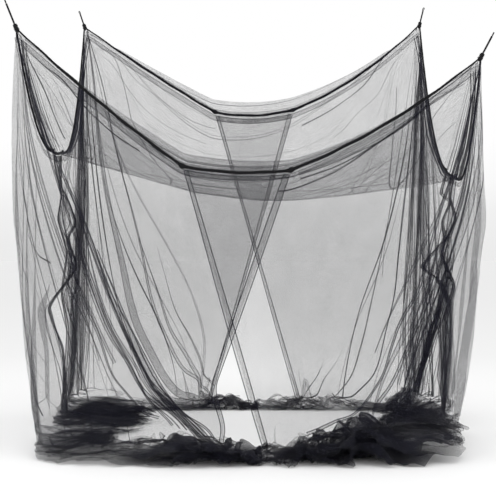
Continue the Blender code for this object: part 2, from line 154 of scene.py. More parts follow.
CORNERS: Dict[str, Corner] = {
    "front_left": Corner(-0.898, -0.712, 1.673, (-0.0406, -0.012, 0.104)),
    "front_right": Corner(0.902, -0.712, 1.561, (0.0465, -0.012, 0.090)),
    "back_left": Corner(-0.836, 0.712, 1.949, (-0.028, 0.012, 0.080)),
    "back_right": Corner(0.877, 0.712, 1.959, (0.023, 0.012, 0.088)),
}


@dataclass(frozen=True)
class Side:
    """One side's binding tape, three stretches that sag between corner, tack, tack and corner.

    Args:
        first: Name of the corner where it starts.
        last: Name of the corner where it ends.
        tack_a: Where the first hem is tacked under the tape.
        tack_b: Where the second hem is tacked under it.
        sags: How far each stretch sags.
        steps: How many stations each stretch has.
        outward: The way out of the canopy.
    """

    first: str
    last: str
    tack_a: Point
    tack_b: Point
    sags: Point
    steps: Tuple[int, int, int]
    outward: Point

    def at(self, station: float) -> Vector:
        """A place on the middle of the tape.

        Args:
            station: How many stations along, from 0 at the first corner.

        Returns:
            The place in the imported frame.
        """
        shift = Vector((CENTRE_X, CENTRE_Y, 0.0))
        stops = [
            CORNERS[self.first].spot(),
            Vector(self.tack_a) - shift,
            Vector(self.tack_b) - shift,
            CORNERS[self.last].spot(),
        ]
        start = 0.0
        for number, count in enumerate(self.steps):
            if station <= start + count or number == 2:
                share = (station - start) / count
                spot = stops[number].lerp(stops[number + 1], share)
                spot.z -= 4.0 * self.sags[number] * share * (1.0 - share)
                return spot
            start += count
        return stops[-1]

    def stations(self) -> int:
        """How many stations the tape has."""
        return sum(self.steps)


SIDES: Dict[str, Side] = {
    "front": Side(
        "front_left", "front_right", (-0.2555, -0.700, 1.139), (0.166, -0.700, 1.124),
        (0.019, 0.017, 0.040), (8, 4, 8), (0.0, -1.0, 0.0),
    ),
    "back": Side(
        "back_left", "back_right", (-0.169, 0.700, 1.512), (0.230, 0.700, 1.524),
        (0.011, 0.023, 0.048), (8, 4, 8), (0.0, 1.0, 0.0),
    ),
    "left": Side(
        "front_left", "back_left", (-0.858, -0.100, 1.246), (-0.852, 0.120, 1.262),
        (0.120, 0.010, 0.190), (7, 2, 7), (-1.0, 0.0, 0.0),
    ),
    "right": Side(
        "front_right", "back_right", (0.915, -0.100, 1.136), (0.910, 0.120, 1.176),
        (0.165, 0.010, 0.150), (7, 2, 7), (1.0, 0.0, 0.0),
    ),
}


# ---- small helpers --------------------------------------------------------------------------

def smooth(value: np.ndarray, low: float, high: float) -> np.ndarray:
    """An even step from 0 under low to 1 over high.

    Args:
        value: Where it is read.
        low: Where it starts to rise.
        high: Where it has risen.

    Returns:
        The step's height at each value.
    """
    share = np.clip((value - low) / (high - low), 0.0, 1.0)
    return share * share * (3.0 - 2.0 * share)


def through(at: np.ndarray, places: Sequence[float], heights: Sequence[float]) -> np.ndarray:
    """A smooth curve through a short table.

    Args:
        at: Where it is read.
        places: The table's places, rising.
        heights: The table's heights.

    Returns:
        The curve's height at each place.
    """
    xs, ys = np.asarray(places, float), np.asarray(heights, float)
    number = np.clip(np.searchsorted(xs, at, side="right") - 1, 0, len(xs) - 2)
    before = np.maximum(number - 1, 0)
    after = np.minimum(number + 2, len(xs) - 1)
    width = xs[number + 1] - xs[number]
    share = (at - xs[number]) / width
    rise_low = (ys[number + 1] - ys[before]) / (xs[number + 1] - xs[before]) * width
    rise_high = (ys[after] - ys[number]) / (xs[after] - xs[number]) * width
    square, cube = share ** 2, share ** 3
    return (
        ys[number] * (2 * cube - 3 * square + 1) + rise_low * (cube - 2 * square + share)
        + ys[number + 1] * (3 * square - 2 * cube) + rise_high * (cube - square)
    )


@dataclass(frozen=True)
class Crumple:
    """An uneven field that rises and falls through space, for crumples in loose cloth.

    Args:
        size: The usual distance from one crumple to the next.
        seed: Which field it is.
        waves: How many waves it is the sum of.
        sharp: Whether it comes to sharp ridges.
    """

    size: float
    seed: int
    waves: int = 9
    sharp: bool = False

    def at(self, spots: np.ndarray) -> np.ndarray:
        """Reads the field.

        Args:
            spots: Places, with three numbers in the last direction.

        Returns:
            Three values for each place, each mostly from -1 to 1.
        """
        dice = np.random.default_rng(self.seed)
        total = np.zeros_like(spots)
        for _ in range(self.waves):
            way = dice.normal(size=3)
            way *= 2.0 * math.pi / (self.size * dice.uniform(0.7, 1.6) * np.linalg.norm(way))
            turn = spots @ way
            for side in range(3):
                wave = np.sin(turn + dice.uniform(0.0, 2.0 * math.pi))
                total[..., side] += (1.3 - 2.05 * np.abs(wave)) * 1.3 if self.sharp else wave
        return total / math.sqrt(self.waves)


def join(piece: bpy.types.Object, node: str) -> None:
    """Makes a piece stand for a node and ride on the canopy.

    Args:
        piece: The piece of the scene.
        node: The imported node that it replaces.
    """
    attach(piece, "root")
    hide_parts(node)


def add(name: str, mesh: bpy.types.Mesh, material: bpy.types.Material) -> bpy.types.Object:
    """Links a smoothly shaded mesh.

    Args:
        name: The object's name.
        mesh: Its mesh.
        material: Its finish.

    Returns:
        The new object.
    """
    mesh.materials.append(material)
    mesh.shade_smooth()
    piece = bpy.data.objects.new(name, mesh)
    bpy.context.scene.collection.objects.link(piece)
    return piece


# ---- finishes -------------------------------------------------------------------------------

def feed(tree: bpy.types.NodeTree, node: bpy.types.Node, values: Dict[object, Input]) -> None:
    """Sets a node's inputs, or links them where a socket is given.

    Args:
        tree: The nodes that it is one of.
        node: The node.
        values: What goes into each input, by its name or number.
    """
    for key, value in values.items():
        if isinstance(value, bpy.types.NodeSocket):
            tree.links.new(value, node.inputs[key])
        else:
            node.inputs[key].default_value = value


def put(tree: bpy.types.NodeTree, kind: str, values: Dict[object, Input]) -> bpy.types.Node:
    """Adds a node.

    Args:
        tree: The nodes that it joins.
        kind: Which node it is.
        values: What goes into its inputs.

    Returns:
        The new node.
    """
    node = tree.nodes.new("ShaderNode" + kind)
    feed(tree, node, values)
    return node


def reckon(tree: bpy.types.NodeTree, operation: str, first: Input, second: Input = 0.0,
           clamp: bool = False) -> bpy.types.NodeSocket:
    """Adds a sum.

    Args:
        tree: The nodes that it joins.
        operation: Which sum it is.
        first: Its first number.
        second: Its second number.
        clamp: Whether its result stays between 0 and 1.

    Returns:
        The socket that the result comes out of.
    """
    node = put(tree, "Math", {0: first, 1: second})
    node.operation = operation
    node.use_clamp = clamp
    return node.outputs[0]


def mottle(tree: bpy.types.NodeTree, by: bpy.types.NodeSocket, colour: Point, darkest: float,
           lightest: float) -> bpy.types.NodeSocket:
    """Adds a colour that varies.

    Args:
        tree: The nodes that it joins.
        by: What it varies by.
        colour: Its middle.
        darkest: The share of the colour that it falls to.
        lightest: The share of the colour that it rises to.

    Returns:
        The socket that the colour comes out of.
    """
    ends = [(*[share * c for c in colour], 1.0) for share in (darkest, lightest)]
    return put(tree, "MixRGB", {"Fac": by, "Color1": ends[0], "Color2": ends[1]}).outputs["Color"]


def blank(name: str) -> Tuple[bpy.types.Material, bpy.types.NodeTree, bpy.types.Node]:
    """A new material.

    Args:
        name: Its name.

    Returns:
        The material, its nodes and its shader.
    """
    material = bpy.data.materials.new(name)
    material.use_nodes = True
    return material, material.node_tree, material.node_tree.nodes["Principled BSDF"]


@dataclass(frozen=True)
class NetFinish:
    """Sheer black net with six-sided holes.

    Args:
        name: The material's name.
        cover: The share of the area that the threads of one ply cover.
        pitch: The distance between two holes.
        colour: The threads' colour.
        full_cover: The share that the pattern of holes covers by itself.
    """

    name: str = "net"
    cover: float = 0.23
    pitch: float = 0.0018
    colour: Point = (0.0090, 0.0090, 0.0165)
    full_cover: float = 0.329

    def make(self) -> bpy.types.Material:
        """Builds the material.

        Returns:
            A material that lets light through between its threads.
        """
        material, tree, shader = blank(self.name)
        flat = put(tree, "UVMap", {})
        flat.uv_map = "cloth"
        place = flat.outputs["UV"]
        slub = put(tree, "TexNoise", {"Vector": place, "Scale": 9.0, "Detail": 3.0}).outputs["Fac"]
        uneven = put(tree, "MapRange", {
            "Value": slub, "From Min": 0.3, "From Max": 0.7, "To Min": 0.88, "To Max": 1.12,
        }).outputs["Result"]
        feed(tree, shader, {
            "Base Color": mottle(tree, slub, self.colour, 0.8, 1.25),
            "Roughness": 0.78,
            "Sheen Weight": 0.05,
            "Sheen Roughness": 0.45,
            "Specular IOR Level": 0.14,
        })
        density = reckon(tree, "MULTIPLY", self.thread(tree, place), uneven, clamp=True)
        plies = put(tree, "Attribute", {})
        plies.attribute_name = "plies"
        one_open = reckon(tree, "SUBTRACT", 1.0, density)
        more = reckon(tree, "SUBTRACT", plies.outputs["Fac"], 1.0)
        more_open = reckon(tree, "POWER", 1.0 - self.cover, more)
        all_open = reckon(tree, "MULTIPLY", one_open, more_open)
        feed(tree, shader, {"Alpha": reckon(tree, "SUBTRACT", 1.0, all_open)})
        return material

    def thread(self, tree: bpy.types.NodeTree, place: bpy.types.NodeSocket) -> bpy.types.NodeSocket:
        """Adds the threads between six-sided holes.

        Args:
            tree: The nodes that they join.
            place: The place on the flat cloth.

        Returns:
            The socket that their share of each place comes out of.
        """
        length = 2.0 * math.pi / (self.pitch * math.sin(math.radians(60.0)))
        waves = []
        for turn in (0.0, 120.0, 240.0):
            cosine, sine = math.cos(math.radians(turn)), math.sin(math.radians(turn))
            way = put(tree, "VectorMath", {0: place, 1: (length * cosine, length * sine, 0.0)})
            way.operation = "DOT_PRODUCT"
            waves.append(reckon(tree, "COSINE", way.outputs["Value"]))
        whole = reckon(tree, "ADD", reckon(tree, "ADD", waves[0], waves[1]), waves[2])
        thread = put(tree, "MapRange", {
            "Value": whole, "From Min": -0.70, "From Max": -1.05,
            "To Min": 0.0, "To Max": min(self.cover / self.full_cover, 1.0),
        })
        thread.interpolation_type = "SMOOTHSTEP"
        return thread.outputs["Result"]


@dataclass(frozen=True)
class WovenFinish:
    """Close black weave, for tape, knots and cords.

    Args:
        name: The material's name.
        colour: Its colour.
        roughness: How matt it is.
        ribs: Ribs of the weave to a metre.
        depth: How strongly the ribs stand out.
    """

    name: str
    colour: Point
    roughness: float
    ribs: float
    depth: float

    def make(self) -> bpy.types.Material:
        """Builds the material.

        Returns:
            An opaque woven material.
        """
        material, tree, shader = blank(self.name)
        place = put(tree, "TexCoord", {}).outputs["Object"]
        rib = put(tree, "TexWave", {
            "Vector": place, "Scale": self.ribs / 20.0, "Distortion": 1.2, "Detail": 2.0,
        })
        rib.wave_type = "BANDS"
        rib.bands_direction = "DIAGONAL"
        wear = put(tree, "TexNoise", {"Vector": place, "Scale": 60.0}).outputs["Fac"]
        matt = put(tree, "MapRange", {
            "Value": wear, "To Min": self.roughness - 0.08, "To Max": self.roughness + 0.08,
        })
        bump = put(tree, "Bump", {
            "Height": rib.outputs["Fac"], "Strength": self.depth, "Distance": 0.0006,
        })
        feed(tree, shader, {
            "Base Color": mottle(tree, wear, self.colour, 0.7, 1.6),
            "Roughness": matt.outputs["Result"],
            "Normal": bump.outputs["Normal"],
            "Sheen Weight": 0.03,
            "Sheen Roughness": 0.5,
            "Specular IOR Level": 0.18,
        })
        return material


@dataclass(frozen=True)
class StudioFinish:
    """Pale floor, with painted shade that darkens it away from the canopy, fading evenly into the
    air round it.

    Args:
        floor: Pairs of a distance from the canopy and the floor's tone there; the darker tones
            further off are painted shade.
        air: Pairs of a height above the horizon, as a sine, and the air's tone there.
    """

    # painted shade: the floor's tone falls from 0.93 by the canopy to 0.84 far off
    floor: Tuple[Tuple[float, float], ...] = (
        (0.0, 0.93), (2.2, 0.92), (4.0, 0.86), (14.0, 0.84), (40.0, 0.84),
    )
    air: Tuple[Tuple[float, float], ...] = ((0.0, 0.84), (0.03, 0.88), (0.055, 0.95), (0.09, 1.0))

    def make(self) -> bpy.types.Material:
        """Builds the floor's material.

        Returns:
            A matt material, darker away from the canopy as painted shade.
        """
        material, tree, shader = blank("studio")
        away = put(tree, "VectorMath", {0: put(tree, "TexCoord", {}).outputs["Object"]})
        away.operation = "LENGTH"
        # the floor's colour carries the painted shade, graded by distance from the canopy
        feed(tree, shader, {
            "Base Color": self.grade(tree, away.outputs["Value"], self.floor),
            "Roughness": 0.9,
            "Specular IOR Level": 0.1,
        })
        return material

    def surround(self) -> bpy.types.World:
        """Builds the even light all round.

        Returns:
            A world, a little darker towards its horizon.
        """
        world = bpy.data.worlds.new("studio_air")
        world.use_nodes = True
        tree = world.node_tree
        place = put(tree, "TexCoord", {}).outputs["Generated"]
        height = put(tree, "SeparateXYZ", {"Vector": place}).outputs["Z"]
        feed(tree, tree.nodes["Background"], {"Color": self.grade(tree, height, self.air)})
        return world

    def grade(self, tree: bpy.types.NodeTree, value: bpy.types.NodeSocket,
              stops: Sequence[Tuple[float, float]]) -> bpy.types.NodeSocket:
        """Adds an even grade of tones.

        Args:
            tree: The nodes that it joins.
            value: What it is read by.
            stops: Pairs of a value and the tone there.

        Returns:
            The socket that the tone comes out of.
        """
        span = put(tree, "MapRange", {"Value": value, "From Max": stops[-1][0]})
        tone = put(tree, "ValToRGB", {"Fac": span.outputs["Result"]})
        ramp = tone.color_ramp
        ramp.interpolation = "LINEAR"
        while len(ramp.elements) < len(stops):
            ramp.elements.new(0.5)
        for element, (at, _) in zip(ramp.elements, stops):
            element.position = at / stops[-1][0]
        for element, (_, level) in zip(ramp.elements, stops):
            element.color = (level, level, level, 1.0)
        return tone.outputs["Color"]


# ---- sheets of net --------------------------------------------------------------------------

def seen(spots: np.ndarray) -> np.ndarray:
    """Where points are seen in the picture's frame.

    Args:
        spots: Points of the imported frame, with three numbers in the last direction.

    Returns:
        Pairs of places across and down the frame.
    """
    scale = LENS / (spots[..., 1] + CENTRE_Y - EYE[1])
    return np.stack([
        FRAME_MIDDLE[0] + (spots[..., 0] + CENTRE_X - EYE[0]) * scale,
        FRAME_MIDDLE[1] - (spots[..., 2] - EYE[2]) * scale,
    ], axis=-1)


def patch_mesh(name: str, patches: Sequence["Patch"]) -> bpy.types.Mesh:
    """A mesh of quads through patches of points, with the flat cut as the cloth's own map.

    Args:
        name: The mesh's name.
        patches: The patches that it is made of.

    Returns:
        The mesh.
    """
    quads, first = [], 0
    for patch in patches:
        rows, columns = patch.spots.shape[:2]
        numbers = np.arange(rows * columns).reshape(rows, columns) + first
        quads.append(np.stack(
            [numbers[:-1, :-1], numbers[1:, :-1], numbers[1:, 1:], numbers[:-1, 1:]], axis=-1
        ).reshape(-1, 4))
        first += rows * columns
    corners = np.concatenate(quads).reshape(-1)
    spots = np.concatenate([patch.spots.reshape(-1, 3) for patch in patches])
    flat = np.concatenate([patch.flat.reshape(-1, 2) for patch in patches])
    plies = np.concatenate([patch.plies.reshape(-1) for patch in patches])
    mesh = bpy.data.meshes.new(name)
    mesh.vertices.add(len(spots))
    mesh.vertices.foreach_set("co", spots.reshape(-1).astype(np.float32))
    mesh.loops.add(len(corners))
    mesh.loops.foreach_set("vertex_index", corners.astype(np.int32))
    mesh.polygons.add(len(corners) // 4)
    mesh.polygons.foreach_set("loop_start", np.arange(0, len(corners), 4, dtype=np.int32))
    mesh.update(calc_edges=True)
    cloth = mesh.uv_layers.new(name="cloth")
    cloth.data.foreach_set("uv", flat[corners].reshape(-1).astype(np.float32))
    dense = mesh.attributes.new("plies", "FLOAT", "POINT")
    dense.data.foreach_set("value", plies.astype(np.float32))
    mesh.validate()
    return mesh


def unit(ways: np.ndarray) -> np.ndarray:
    """Directions of length 1.

    Args:
        ways: Directions, with three numbers in the last direction.

    Returns:
        The same directions at length 1.
    """
    return ways / np.maximum(np.linalg.norm(ways, axis=-1, keepdims=True), 1e-9)


def even_out(line: np.ndarray, times: int) -> None:
    """Evens a line out, with its two ends kept.

    Args:
        line: Rows of numbers, which are changed.
        times: How many times it is evened out.
    """
    for _ in range(times):
        line[1:-1] = (line[:-2] + 2.0 * line[1:-1] + line[2:]) / 4.0


def normals(spots: np.ndarray) -> np.ndarray:
    """The direction across a sheet at each of its points.

    Args:
        spots: Rows by columns by three.

    Returns:
        Unit directions of the same shape.
    """
    down = np.gradient(spots, axis=0)
    across = np.gradient(spots, axis=1)
    return unit(np.cross(down, across))


@dataclass(frozen=True)
class Patch:
    """A grid of points with its flat cut.

    Args:
        spots: Rows by columns by three.
        flat: Rows by columns by two, in metres of cloth.
        plies: Rows by columns, how many plies of net it is as dense as.
    """

    spots: np.ndarray
    flat: np.ndarray
    plies: np.ndarray


class Drawn(Enum):
    """How a crease's line is given."""

    ON_SHEET = "on_sheet"
    AS_SEEN = "as_seen"


@dataclass(frozen=True)
class Crease:
    """A fold pressed into the net: more plies, between two rolled edges.

    Args:
        line: Points that it runs through, on the sheet or as they are seen in the frame.
        width: How wide it is.
        plies: How many plies lie over the sheet between its edges.
        edge: How many plies its rolled edges are as dense as.
        ends: Its width at its two ends, as shares of its own.
        drawn: How its line is given.
        part: Which part of the sheet it lies on, as first and last share of the columns.
        rows: Which of its rows it lies in, as first and last share, or none for those that hang.
        taut: How far it is drawn straight over the sheet's crumples.
        stand: How far its width turns out of the sheet, 0 for flat on it and 1 for upright.
        arch: How far its middle rises off the sheet.
    """

    line: Tuple[Tuple[float, float], ...]
    width: float
    plies: float = 1.0
    edge: float = 3.0
    ends: Tuple[float, float] = (0.25, 1.0)
    drawn: Drawn = Drawn.ON_SHEET
    part: Tuple[float, float] = (0.0, 1.0)
    rows: Optional[Tuple[float, float]] = None
    taut: int = 0
    stand: float = 0.0
    arch: float = 0.0


@dataclass
class Cloth:
    """One sheet of net as a grid, and the creases pressed into it.

    Args:
        sheet: The sheet itself.
        ways: The way out of it at each of its points.
        rows_open: Up to which share of its rows a crease given as seen may lie.
        roll: Width of a crease's rolled edge.
        step: How far apart a crease's stations lie.
        fewest: How many stations a short crease has.
        most: How many stations a long crease has.
        edge_weight: How much denser a rolled edge is than its plies say.
        lift: How far a crease's edges lie off the sheet.
        rise: How much further its middle lies off it.
        seed: Which uneven pattern its creases have.
        creases: The creases pressed so far.
    """

    sheet: Patch
    ways: np.ndarray
    rows_open: float = 1.0
    roll: float = 0.0030
    step: float = 0.016
    fewest: int = 8
    most: int = 110
    edge_weight: float = 2.2
    lift: float = 0.0012
    rise: float = 0.0020
    seed: int = 1
    creases: List[Patch] = field(default_factory=list)

    def read(self, grid: np.ndarray, places: np.ndarray, rows: np.ndarray) -> np.ndarray:
        """Reads one of the sheet's grids between its points.

        Args:
            grid: Rows by columns by some numbers.
            places: Shares of the way across.
            rows: Shares of the way down.

        Returns:
            The numbers at each place.
        """
        high, wide = grid.shape[0] - 1, grid.shape[1] - 1
        x, y = np.clip(places, 0.0, 1.0) * wide, np.clip(rows, 0.0, 1.0) * high
        i, j = np.minimum(x.astype(int), wide - 1), np.minimum(y.astype(int), high - 1)
        s, t = (x - i)[:, None], (y - j)[:, None]
        upper = grid[j, i] * (1.0 - s) + grid[j, i + 1] * s
        lower = grid[j + 1, i] * (1.0 - s) + grid[j + 1, i + 1] * s
        return upper * (1.0 - t) + lower * t

    def find(self, crease: Crease) -> Tuple[np.ndarray, np.ndarray]:
        """Finds where on the sheet a crease given as seen runs.

        Args:
            crease: The crease.

        Returns:
            Shares of the way across and of the way down for its points.
        """
        high, wide = self.sheet.spots.shape[:2]
        top, bottom = crease.rows or (0.0, self.rows_open)
        first, last = int(top * (high - 1)), int(bottom * (high - 1)) + 1
        first_column = int(crease.part[0] * (wide - 1))
        last_column = int(crease.part[1] * (wide - 1)) + 1
        window = seen(self.sheet.spots[first:last, first_column:last_column])
        count_down, count_across = window.shape[:2]
        places, rows = [], []
        for point in crease.line:
            away = ((window - np.array(point)) ** 2).sum(axis=-1)
            weight = np.exp(-(away - away.min()) / 2.0)
            weight /= weight.sum()
            column = weight.sum(axis=0) @ np.arange(count_across) + first_column
            places.append(column / (wide - 1))
            rows.append((weight.sum(axis=1) @ np.arange(count_down) + first) / (high - 1))
        return np.array(places), np.array(rows)

    def press(self, crease: Crease) -> None:
        """Presses a crease into the sheet.

        Args:
            crease: The crease.
        """
        if crease.drawn is Drawn.AS_SEEN:
            places, rows = self.find(crease)
        else:
            places, rows = (np.array(side, float) for side in zip(*crease.line))
        run = np.concatenate([[0.0], np.cumsum(np.hypot(np.diff(places), np.diff(rows)) + 1e-4)])
        knots = self.read(self.sheet.spots, places, rows)
        long = float(np.linalg.norm(np.diff(knots, axis=0), axis=1).sum())
        steps = int(np.clip(long / self.step, self.fewest, self.most))
        at = np.linspace(0.0, run[-1], steps)
        place, row = through(at, run, places), through(at, run, rows)
        middle = self.read(self.sheet.spots, place, row)
        way = self.read(self.ways, place, row)
        even_out(middle, crease.taut)
        ahead = np.gradient(middle, axis=0)
        even_out(ahead, 2)
        side = unit(np.cross(ahead, way))
        side = unit(side * (1.0 - crease.stand) + way * crease.stand)
        share = np.linspace(0.0, 1.0, steps)
        middle = middle + way * (crease.arch * np.sin(math.pi * share))[:, None]
        phase = 40.0 * float(places[0]) + 17.0 * float(places[-1]) + self.seed
        spread = crease.width * (1.0 + 0.22 * np.sin(phase + 9.0 * share))
        spread *= crease.ends[0] + (1.0 - crease.ends[0]) * smooth(share, 0.0, 0.45)
        spread *= crease.ends[1] + (1.0 - crease.ends[1]) * (1.0 - smooth(share, 0.6, 1.0))
        roll = np.minimum(self.roll / np.maximum(spread, 1e-4), 0.42)
        none = np.zeros_like(roll)
        lanes = np.stack([none, roll, roll * 1.25, 1.0 - roll * 1.25, 1.0 - roll, none + 1.0], 1)
        edge, inner = 1.0 + self.edge_weight * (crease.edge - 1.0), crease.plies
        plies = np.broadcast_to(np.array([edge, edge, inner, inner, edge, edge]), lanes.shape)
        off = (lanes - 0.5) * spread[:, None]
        bow = 1.0 - (2 * lanes - 1) ** 2
        lift = self.lift + self.rise * np.minimum(spread[:, None] / 0.02, 1.0) * bow
        spots = middle[:, None] + side[:, None] * off[..., None] + way[:, None] * lift[..., None]
        flat = np.repeat(self.read(self.sheet.flat, place, row)[:, None], 6, axis=1)
        flat[..., 0] += off
        self.creases.append(Patch(spots, flat, plies))

    def mesh(self, name: str) -> bpy.types.Mesh:
        """The sheet and its creases as one mesh.

        Args:
            name: The mesh's name.

        Returns:
            The mesh.
        """
        return patch_mesh(name, [self.sheet, *self.creases])


@dataclass(frozen=True)
class Foot:
    """Where the threads from one place of a curtain's top edge land.

    Args:
        along: The place along the top edge, from 0 to 1.
        x: Where they land across.
        y: Where they land in depth.
        sweep: How late on their way down they sweep there.
        height: The height of the heap there.
        slip: How far the heap slips sideways.
        inner: The heap's inner rim.
        toe: How far the heap comes out.
        dense: How many plies each layer of the heap is as dense as.
    """

    along: float
    x: float
    y: float
    sweep: float
    height: float
    slip: float
    inner: Tuple[float, float]
    toe: float
    dense: float


@dataclass
class NetCurtain:
    """One curtain panel, from the tape round a corner down to its heap.

    Args:
        name: The corner's name.
        route: The sides it hangs on, with first and last station.
        start_lean: Which way its first hem leans, 1 for outwards.
        end_lean: Which way its last hem leans.
        seed: Which uneven pattern it has.
        fans: How many fine creases spread from its corner, on its long part, flat on its side
            and upright on its side.
        core: Where across its heap the cloth lies thickest, 0 for below its wall and 1 for the
            inner rim.
        hem: Width of its first hem.
        bulge: How far it swells out below its corner.
        feet: Where its threads land.
        swing: How much of its heap's slip it takes above the heap already.
        drift: Where its fold lines run, as pairs of top place and foot place.
        stray: How far its last hem strays sideways, as pairs of height and metres.
        creases: Its main creases, each in its own size.
        folds: Main folds across its width.
        gathers: Fine folds across its width.
        overlap: How far its two hems stand off the curtains beside it.
        most_pleat: The deepest that a main fold gets.
        columns: Points across it.
        hang_rows: Rows of its hanging part.
        layers: Layers of its heap.
        layer_rows: Rows of each layer.
        wisps: Twisted folds across its heap.
        loops: Small loops that stand up from its heap.
        top: Its top edge, read off the tape when it is built.
    """

    name: str
    route: Tuple[Tuple[str, int, int], ...]
    start_lean: int
    end_lean: int
    seed: int
    fans: Tuple[int, int, int]
    core: float
    hem: float
    bulge: float
    feet: Tuple[Foot, ...]
    swing: float
    drift: Tuple[Tuple[float, float], ...]
    stray: Tuple[Tuple[float, float], ...]
    creases: Tuple[Crease, ...]
    folds: int = 10
    gathers: int = 30
    overlap: float = 0.0026
    most_pleat: float = 0.042
    columns: int = 300
    hang_rows: int = 64
    layers: int = 5
    layer_rows: int = 14
    wisps: int = 44
    loops: int = 26
    top: Dict[str, np.ndarray] = field(default_factory=dict)

    def rows(self) -> int:
        """How many rows the sheet has."""
        return self.hang_rows + self.layers * self.layer_rows

    def hung(self) -> float:
        """Which share of the way down its rows the hanging part ends at."""
        return (self.hang_rows - 1.0) / (self.rows() - 1.0)

    def edge(self) -> None:
        """Reads the tape's underside along the curtain's route."""
        spots, ways = [], []
        for side_name, start, stop in self.route:
            side = SIDES[side_name]
            stations = np.linspace(start, stop, abs(stop - start) * EDGE_POINTS + 1)
            for station in stations:
                spot = side.at(float(station))
                near = min(
                    (spot - CORNERS[side.first].spot()).length,
                    (spot - CORNERS[side.last].spot()).length,
                )
                tucked = TAPE_HEIGHT * 0.5 - TUCK
                pull = (1.0 - min(near / KNOT_SPAN, 1.0)) ** 2
                spot.z -= tucked + (KNOT_DROP - tucked) * pull
                spots.append(spot)
                ways.append(side.outward)
        self.top["spot"] = np.array([list(spot) for spot in spots])
        steps = np.linalg.norm(np.diff(self.top["spot"], axis=0), axis=1)
        run = np.concatenate([[0.0], np.cumsum(steps)])
        self.top["whole"] = run[-1]
        self.top["along"] = run / run[-1]
        self.top["way"] = np.array(ways, float)

    def main_wave(self, along: np.ndarray) -> np.ndarray:
        """The main folds, as uneven as the solid's.

        Args:
            along: Places along the top edge.

        Returns:
            The wave at each place, from -1 to 1.
        """
        turn = 2.0 * math.pi * self.folds * along
        depth = 0.62 + 0.38 * np.sin(11.0 * along + 2.0 * self.start_lean)
        return np.sin(turn + 1.1 * np.sin(9.0 * along + self.end_lean)) * depth

    def column(self, name: str, along: np.ndarray) -> np.ndarray:
        """One column of the table of feet, read on a smooth curve.

        Args:
            name: The column's name, or inner_x or inner_y.
            along: Places along the top edge.

        Returns:
            The column's value at each place.
        """
        if name.startswith("inner"):
            side = 0 if name.endswith("x") else 1
            heights = [foot.inner[side] for foot in self.feet]
        else:
            heights = [getattr(foot, name) for foot in self.feet]
        return through(along, [foot.along for foot in self.feet], heights)

    def lean(self, along: np.ndarray) -> np.ndarray:
        """Which way the folds lean, so that two curtains clear each other.

        Args:
            along: Places along the top edge.

        Returns:
            From -1, inwards, to 1, outwards.
        """
        return (
            self.start_lean * (1.0 - smooth(along, 0.25, 0.50))
            + self.end_lean * smooth(along, 0.60, 0.80)
        )

    def corner_share(self) -> float:
        """Where along its top edge the curtain goes round the corner.

        Returns:
            The corner's place, from 0 to 1.
        """
        first = abs(self.route[0][2] - self.route[0][1]) * EDGE_POINTS
        return float(self.top["along"][first])

    def hang(self, across: np.ndarray, down: np.ndarray) -> np.ndarray:
        """The hanging part's main shape.

        Args:
            across: Rows by columns, places along the top edge.
            down: Rows by columns, shares of the way down.

        Returns:
            Rows by columns by three.
        """
        base = self.top["along"]
        top = np.stack([np.interp(across, base, self.top["spot"][:, k]) for k in range(3)], -1)
        swept = down ** self.column("sweep", across)
        foot_x = self.column("x", across) - CENTRE_X
        swung = self.swing * self.column("slip", across) * smooth(down, SWING_FROM, 1.0)
        foot_y = self.column("y", across) - CENTRE_Y
        height = self.column("height", across)
        out = math.copysign(self.bulge, CORNERS[self.name].x)
        near = np.exp(-((across - self.corner_share()) / BULGE_SPAN) ** 2)
        swell = np.sin(math.pi * np.minimum(down / 0.85, 1.0)) ** 0.8
        return np.stack([
            top[..., 0] + (foot_x - top[..., 0]) * swept + out * near * swell + swung,
            top[..., 1] + (foot_y - top[..., 1]) * swept,
            top[..., 2] + (height - top[..., 2]) * down,
        ], axis=-1)

    def outward(self, across: np.ndarray) -> np.ndarray:
        """The way out of the canopy along the top edge, turning at the corner.

        Args:
            across: Rows by columns, places along the top edge.

        Returns:
            Rows by columns by three.
        """
        turn = smooth(across, self.corner_share() - 0.03, self.corner_share() + 0.03)[..., None]
        way = self.top["way"][0] * (1.0 - turn) + self.top["way"][-1] * turn
        return way / np.linalg.norm(way, axis=-1, keepdims=True)

    def pleats(self, across: np.ndarray, down: np.ndarray) -> np.ndarray:
        """How far each point stands out from the main shape.

        Args:
            across: Places along the top edge.
            down: Shares of the way down.

        Returns:
            Rows by columns, in metres outwards.
        """
        whole = float(self.top["whole"])
        span = np.linspace(0.0, 1.0, SPARE_COLUMNS)
        shape = (len(down), SPARE_COLUMNS)
        grid = self.hang(np.broadcast_to(span, shape), np.broadcast_to(down[:, :1], shape))
        flat = np.linalg.norm(np.gradient(grid[..., :2], axis=1), axis=-1) * (SPARE_COLUMNS - 1.0)
        spare = whole / np.maximum(flat, LEAST_SPARE)
        spare = np.stack([np.interp(across[k], span, spare[k]) for k in range(len(down))])
        pitch = whole / self.folds / spare
        depth = pitch / math.pi * np.sqrt(np.maximum(spare - 1.0, LEAST_SPARE)) * PLEAT_SHARE
        depth = np.minimum(depth, self.most_pleat) * smooth(down, 0.0, 0.75)
        depth *= 1.0 - 0.5 * smooth(down, 0.9, 1.0)
        lean = self.lean(across)
        return self.overlap * lean + depth * (self.main_wave(across) + lean)

